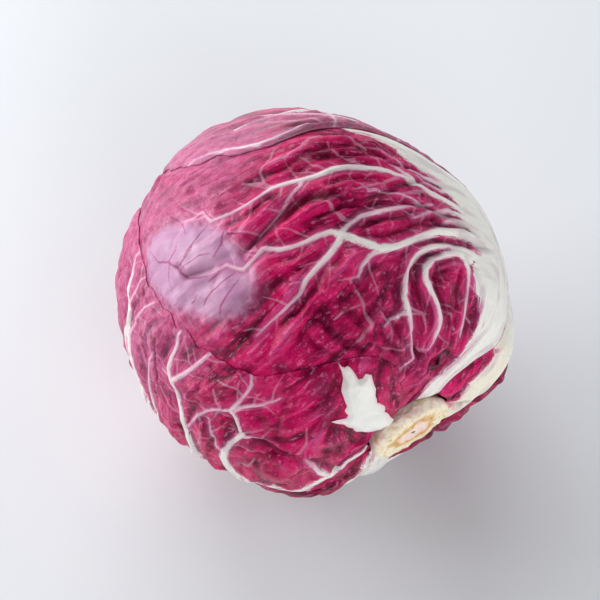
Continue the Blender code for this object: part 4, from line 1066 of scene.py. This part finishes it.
def new_finish(name, *traits):
    """A new material: itself, its node tree, its surface, the place in metres, and traits
    that are kept on the mesh."""
    material = bpy.data.materials.new(name)
    material.use_nodes = True
    tree = material.node_tree
    place = node(tree, "TexCoord", out="Object")
    found = [node(tree, "Attribute", out="Fac", attribute_name=trait) for trait in traits]
    return material, tree, tree.nodes["Principled BSDF"], place, *found


def flow_direction(tree, place, twice_cos, twice_sin):
    """The direction of the nearby ribs, from the two flow traits kept on the mesh."""
    axis = tuple(STEM_AXIS)
    outward = node(tree, "VectorMath", (place, tuple(MIDDLE * MM)), operation="SUBTRACT")
    ray = node(tree, "VectorMath", (outward,), operation="NORMALIZE")
    upward = node(tree, "VectorMath", (ray, axis), "Value", operation="DOT_PRODUCT")
    shadow = node(tree, "VectorMath", {0: ray, 3: upward}, operation="SCALE")
    along = node(tree, "VectorMath", (axis, shadow), operation="SUBTRACT")
    ahead = node(tree, "VectorMath", (along,), operation="NORMALIZE")
    aside = node(tree, "VectorMath", (ray, ahead), operation="CROSS_PRODUCT")
    twice = node(tree, "Math", (twice_sin, twice_cos), operation="ARCTAN2")
    angle = product(tree, twice, 0.5)
    parts = []
    for way, share in ((ahead, "COSINE"), (aside, "SINE")):
        share = node(tree, "Math", (angle,), operation=share)
        parts.append(node(tree, "VectorMath", {0: way, 3: share}, operation="SCALE"))
    return node(tree, "VectorMath", parts, operation="ADD")


def fibres(tree, place, flow, size, taps, pace):
    """Noise of size mm smeared along the flow, from 0 to 1: fibres that run with the veins."""
    mean = 0.0
    for tap in range(-taps, taps + 1):
        spot = node(tree, "VectorMath", (flow, (tap * pace * MM,) * 3, place),
                    operation="MULTIPLY_ADD")
        grain = node(tree, "TexNoise", patches(spot, size, 1.0), "Fac")
        mean = sum_of(tree, mean, (grain, 1.0 / (2 * taps + 1)))
    return product(tree, (mean, 0.40, 0.60))


def radicchio_leaf(name, deep, mid, rose, rib_white, vein_pink, pale=0.0):
    """Fresh radicchio leaf: a thin wax over magenta cells, glossy on every bump, with raised
    ribs of white flesh, paler veins, and fibres that run with the veins, which are finer on a
    real leaf and drawn 0.4 mm wide here to show."""
    (material, tree, finish, place, rib, vein, fold, edge, streak, girth, pleat, calm, bloom,
     dark, painted_sheen, brown, twice_cos, twice_sin) = new_finish(
        name, "rib", "vein", "fold", "margin", "streak", "girth", "pleat", "calm", "bloom",
        "dark", "painted_sheen", "bruise", "twice_cos", "twice_sin")
    flow = flow_direction(tree, place, twice_cos, twice_sin)
    hairs = fibres(tree, place, flow, 0.42, 4, 0.55)
    cells = fibres(tree, place, flow, 0.9, 2, 0.8)
    patch = node(tree, "TexNoise", patches(place, 8.0, 3.0, 0.6), "Fac")
    mottle = node(tree, "TexNoise", patches(place, 2.2, 3.0, 0.65), "Fac")
    wander = product(tree, sum_of(tree, -1.15, (hairs, 1.3), (mottle, 1.0)),
                     (girth, 0.2, 3.5, 0.32, 1.25))
    rib = sum_of(tree, rib, (wander, 1.0))
    vein = sum_of(tree, vein, (wander, 0.15))
    brown = sum_of(tree, brown, (wander, 0.2))
    # how far in from the ragged edge of the painted window reflection
    ragged = sum_of(tree, -3.5, (bloom, 1.0), (mottle, 3.5), (patch, 3.5))
    is_rib = product(tree, (rib, 0.30, -0.36))
    off_ring = node(tree, "Math", (sum_of(tree, -BRUISE_RADIUS, (brown, 1.0)),),
                    operation="ABSOLUTE")
    cut = tuple((MIDDLE + STEM_CUT * STEM_AXIS) * MM)
    from_cut = node(tree, "VectorMath", (place, cut), "Value", operation="DISTANCE")
    bright = "#E8166E"
    # painted shade: the deep magenta darkened towards black, laid in fold valleys and creases
    shade = tuple(0.4 * a + 0.6 * b for a, b in zip(colour(deep), colour("#2E0214")))
    # the pale haze of painted sheen, also laid round the painted window reflection
    sheen_tone = layered(tree, "#B0507E", ("#C87AA0", (mottle, 0.35, 0.7)))
    # the painted lilac reflection of the side window
    painted_reflection = layered(tree, "#B88AAE", ("#C6A0BE", (patch, 0.35, 0.7)))
    flesh = layered(tree, rib_white, ("#F1EFE8", (from_cut, 32 * MM, 44 * MM)))
    # the rib flesh, with greyish pink painted shade where it dips into the fold valleys, grey
    # fibres and pink streaks
    flesh = layered(
        tree, vein_pink, (flesh, (girth, 0.15, 1.3)), (vein_pink, (rib, -0.55, 0.2, 0.0, 0.7)),
        ("#B2AAA6", (hairs, 0.45, 0.95, 0.0, 0.22)), ("#B9A3AE", (pleat, 0.45, 0.15, 0.0, 0.4)),
        (rose, (streak, 0.50, 0.80), (rib, -4.0, -0.4, 0.0, 0.85), (girth, 1.2, 2.4)))
    tone = layered(
        tree, deep,
        # the magenta blade, with its streaks and fibres, painted shade in its fold valleys and
        # painted light on their crests
        (mid, (patch, 0.32, 0.62)),
        (bright, (mottle, 0.45, 0.75, 0.0, 0.5)),
        (bright, (streak, 0.55, 0.85, 0.0, 0.65)),
        (deep, (hairs, 0.45, 0.05, 0.0, 0.45)),
        # painted shade in the valleys of the small folds
        (shade, (pleat, 0.46, 0.14, 0.0, 0.85)),
        # painted light: rose on the crests of the small folds
        (rose, (pleat, 0.50, 0.90), (streak, 0.45, 0.78, 0.08, 0.55)),
        (rose, (hairs, 0.58, 0.98), (patch, 0.46, 0.70, 0.03, 0.42)),
        # pink flecks: pale cells, and painted glints of the wax
        ("#E486B0", (cells, 0.62, 1.0), (mottle, 0.42, 0.60, 0.0, 0.5)),
        (vein_pink, pale),
        # painted sheen of the windows, the painted lilac reflection of the side window with its
        # veins, veins and the blush beside the ribs
        (sheen_tone, painted_sheen, (patch, 0.35, 0.62, 0.55, 0.88), (hairs, 0.1, 0.7, 0.60, 1.0)),
        (sheen_tone, (ragged, -6.0, 0.0, 0.0, 0.50)),
        (painted_reflection, (ragged, -2.4, 2.4, 0.0, 0.80)),
        (rose, (rib, 2.2, -0.1, 0.0, 0.35)),
        (vein_pink, (vein, 0.22, -0.12, 0.0, 0.40)),
        ("#962464", (dark, 0.14, -0.16, 0.0, 0.75)),
        # the ribs, painted shade in the creases, the bruise and the pale margin
        (flesh, is_rib),
        (shade, fold, (is_rib, 0.0, 1.0, 0.80, 0.40)),
        ("#7C2A4C", (brown, 4.0, 2.6, 0.0, 0.7)),
        ("#2E0C18", (off_ring, 0.9, 0.3, 0.0, 0.95)),
        (rose, (edge, 0.5, 0.1), (mottle, 0.46, 0.70, 0.0, 0.6)))
    bump = node(tree, "Bump", {
        "Height": sum_of(tree, 0.0, (hairs, 0.8), (mottle, 1.6)),
        "Strength": product(tree, (rib, -0.6, 0.6, 0.15, 0.85), calm), "Distance": 0.22 * MM})
    feed(tree, finish, {
        "Base Color": tone, "Roughness": product(tree, (mottle, 0.3, 0.7, 0.26, 0.42)),
        "IOR": 1.45, "Specular IOR Level": 0.18, "Coat Weight": 0.08, "Coat Roughness": 0.1,
        "Normal": bump})
    return material


def torn_flesh():
    """White rib flesh where a leaf was broken away: moist, smooth, a little translucent, with
    faint greenish fibres 1.2 mm wide and a pink skin left along its torn edge."""
    material, tree, finish, place, edge = new_finish("torn_white_rib_flesh", "margin")
    patch = node(tree, "TexNoise", patches(place, 7.0, 3.0), "Fac")
    fibre = node(tree, "TexNoise", patches(place, 1.2, 3.0, 0.6), "Fac")
    ragged = sum_of(tree, edge, (fibre, 0.7))
    tone = layered(tree, "#EBEAE5", ("#F4F1EC", (patch, 0.3, 0.7)),
                   ("#D3DDD2", (fibre, 0.5, 0.75, 0.0, 0.3)),
                   ("#EBC6CE", (ragged, 1.2, 0.5, 0.0, 0.75)))
    bump = node(tree, "Bump", {"Height": fibre, "Strength": 0.25, "Distance": 0.2 * MM})
    feed(tree, finish, {"Base Color": tone, "Roughness": 0.42, "Normal": bump})
    return material


def cut_stem():
    """Cut chicory stem a few days old: cream bark, a tan ring where the cut has browned, and a
    pinkish pith with small dark pores 3 mm apart."""
    material, tree, finish, place, from_axis, height = new_finish(
        "cut_chicory_stem", "from_axis", "height")
    wobble, burnt, cork, stain, grit = (
        node(tree, "TexNoise", patches(place, *kind), "Fac") for kind in (
            (4.5, 3.0, 0.6), (1.6, 4.0, 0.7), (1.2, 3.0, 0.6), (2.0, 3.0), (0.9, 4.0, 0.65)))
    pores = node(tree, "TexVoronoi", {"Vector": place, "Scale": 1.0 / (3.0 * MM)},
                 "Distance", feature="F1")
    ring = sum_of(tree, -3.0, (from_axis, 1.0), (wobble, 6.0))
    tan = layered(tree, "#EBC486", ("#C98C44", (burnt, 0.35, 0.7)))
    bark = layered(tree, "#FAEED2", ("#E6BE7C", (cork, 0.45, 0.75)))
    # the wall: its cream painted near white, as painted light where the head shades it
    side = layered(tree, "#FFF8E6", ("#EAC88C", (stain, 0.42, 0.75)))
    tone = layered(
        tree, "#F4CFC4", ("#FBE8DC", (wobble, 0.35, 0.65)), (tan, (ring, 4.0, 5.6)),
        (bark, (ring, 6.6, 8.4)), ("#8A5A2A", (pores, 0.16, 0.08), (ring, 4.6, 5.6, 0.0, 0.65)),
        ("#5A3418", (from_axis, 0.8, 0.4, 0.0, 0.8)), (side, (height, 0.99, 0.9)))
    bump = node(tree, "Bump", {"Height": sum_of(tree, grit, (wobble, 0.8)), "Strength": 0.6,
                               "Distance": 0.4 * MM})
    feed(tree, finish, {"Base Color": tone, "Roughness": 0.62, "Normal": bump})
    return material


def studio_paper():
    """Matt pale paper of a studio floor."""
    material, tree, finish, _ = new_finish("pale_backdrop_paper")
    feed(tree, finish, {"Base Color": "#E1E4E7", "Roughness": 0.8, "Specular IOR Level": 0.1})
    return material


# ---------------------------------------------------------------- studio

CAMERA_ELEVATION = 58.0      # degrees over the horizon
CAMERA_DISTANCE = 650.0      # mm from the head's middle
CAMERA_SHIFT = 3.7           # mm to the left of the head's middle
CAMERA_LENS = 137.6          # on a 36 mm sensor
LAMPS = (      # name, place and size in mm, power in W, tint, whether the leaves mirror it
    ("side_window", (-590, 170, 220), (480, 380), 4.5, "#FBFCFC", True),
    ("back_window", (-190, 690, 560), (700, 500), 5.0, "#FBFCFD", True),
    ("front_fill", (320, -800, 370), (600, 400), 4.8, "#FFFFFF", False),
    ("right_fill", (640, 120, 240), (400, 400), 1.0, "#F8F9FB", False))


def place_facing(thing, spot, towards):
    """Put a lamp or camera at a spot in mm, facing along a vector."""
    thing.location = spot * MM
    thing.rotation_euler = towards.to_track_quat("-Z", "Y").to_euler()


def build_studio():
    """Floor, window light from the left, weak fill, and the camera."""
    bm = bmesh.new()
    bmesh.ops.create_grid(bm, x_segments=1, y_segments=1, size=4.0)
    add_mesh("floor", bm, studio_paper())
    for name, spot, size, power, tint, mirrored in LAMPS:
        lamp = bpy.data.lights.new(name, "AREA")
        lamp.shape = "RECTANGLE"
        lamp.size, lamp.size_y = size[0] * MM, size[1] * MM
        lamp.energy = power
        lamp.color = colour(tint)[:3]
        thing = add_object(name, lamp)
        thing.visible_glossy = mirrored
        place_facing(thing, Vector(spot), Vector(MIDDLE) - Vector(spot))
    world = bpy.data.worlds.new("studio_room")
    world.use_nodes = True
    feed(world.node_tree, world.node_tree.nodes["Background"],
         {"Color": "#ECEEF5", "Strength": 0.20})
    world.cycles_visibility.glossy = False
    bpy.context.scene.world = world
    camera = bpy.data.cameras.new("camera")
    camera.lens = CAMERA_LENS
    camera.sensor_width = 36.0
    rise = math.radians(CAMERA_ELEVATION)
    aim = Vector((-CAMERA_SHIFT, 0.0, CENTRE_HEIGHT))
    away = Vector((0.0, -math.cos(rise), math.sin(rise))) * CAMERA_DISTANCE
    thing = add_object("camera", camera)
    place_facing(thing, aim + away, -away)
    bpy.context.scene.camera = thing
    bpy.context.scene.view_settings.view_transform = "Standard"


def main():
    magenta = ("#760232", "#CE085C", "#CE5894")
    white, pink = "#F1EFE8", "#E2A8C2"
    blade = radicchio_leaf("waxy_magenta_leaf", *magenta, white, pink)
    creamy = radicchio_leaf("waxy_magenta_leaf_creamy_rib", *magenta, "#F3ECDA", "#E6B6B4")
    # the back leaf's paler rose is partly its own colour and partly painted sheen of the back
    # window
    pale = radicchio_leaf("rose_leaf_with_painted_sheen", "#8A0E42", "#B82E68", "#D57FAA", white, "#E6BCD0",
                          0.20)
    dark = radicchio_leaf("waxy_deep_magenta_leaf", "#520322", "#90083C", "#B8346E", white, pink)
    finishes = {"leaf_back": pale, "leaf_right": creamy, "leaf_under": dark,
                "leaf_inner_under": dark, "torn_leaf_base": torn_flesh()}
    leaves = plan_leaves()
    build_heart(leaves, dark)
    build_stem(cut_stem())
    for number, leaf in enumerate(leaves):
        build_leaf(leaves, number, finishes.get(leaf.name, blade))
    build_studio()


main()
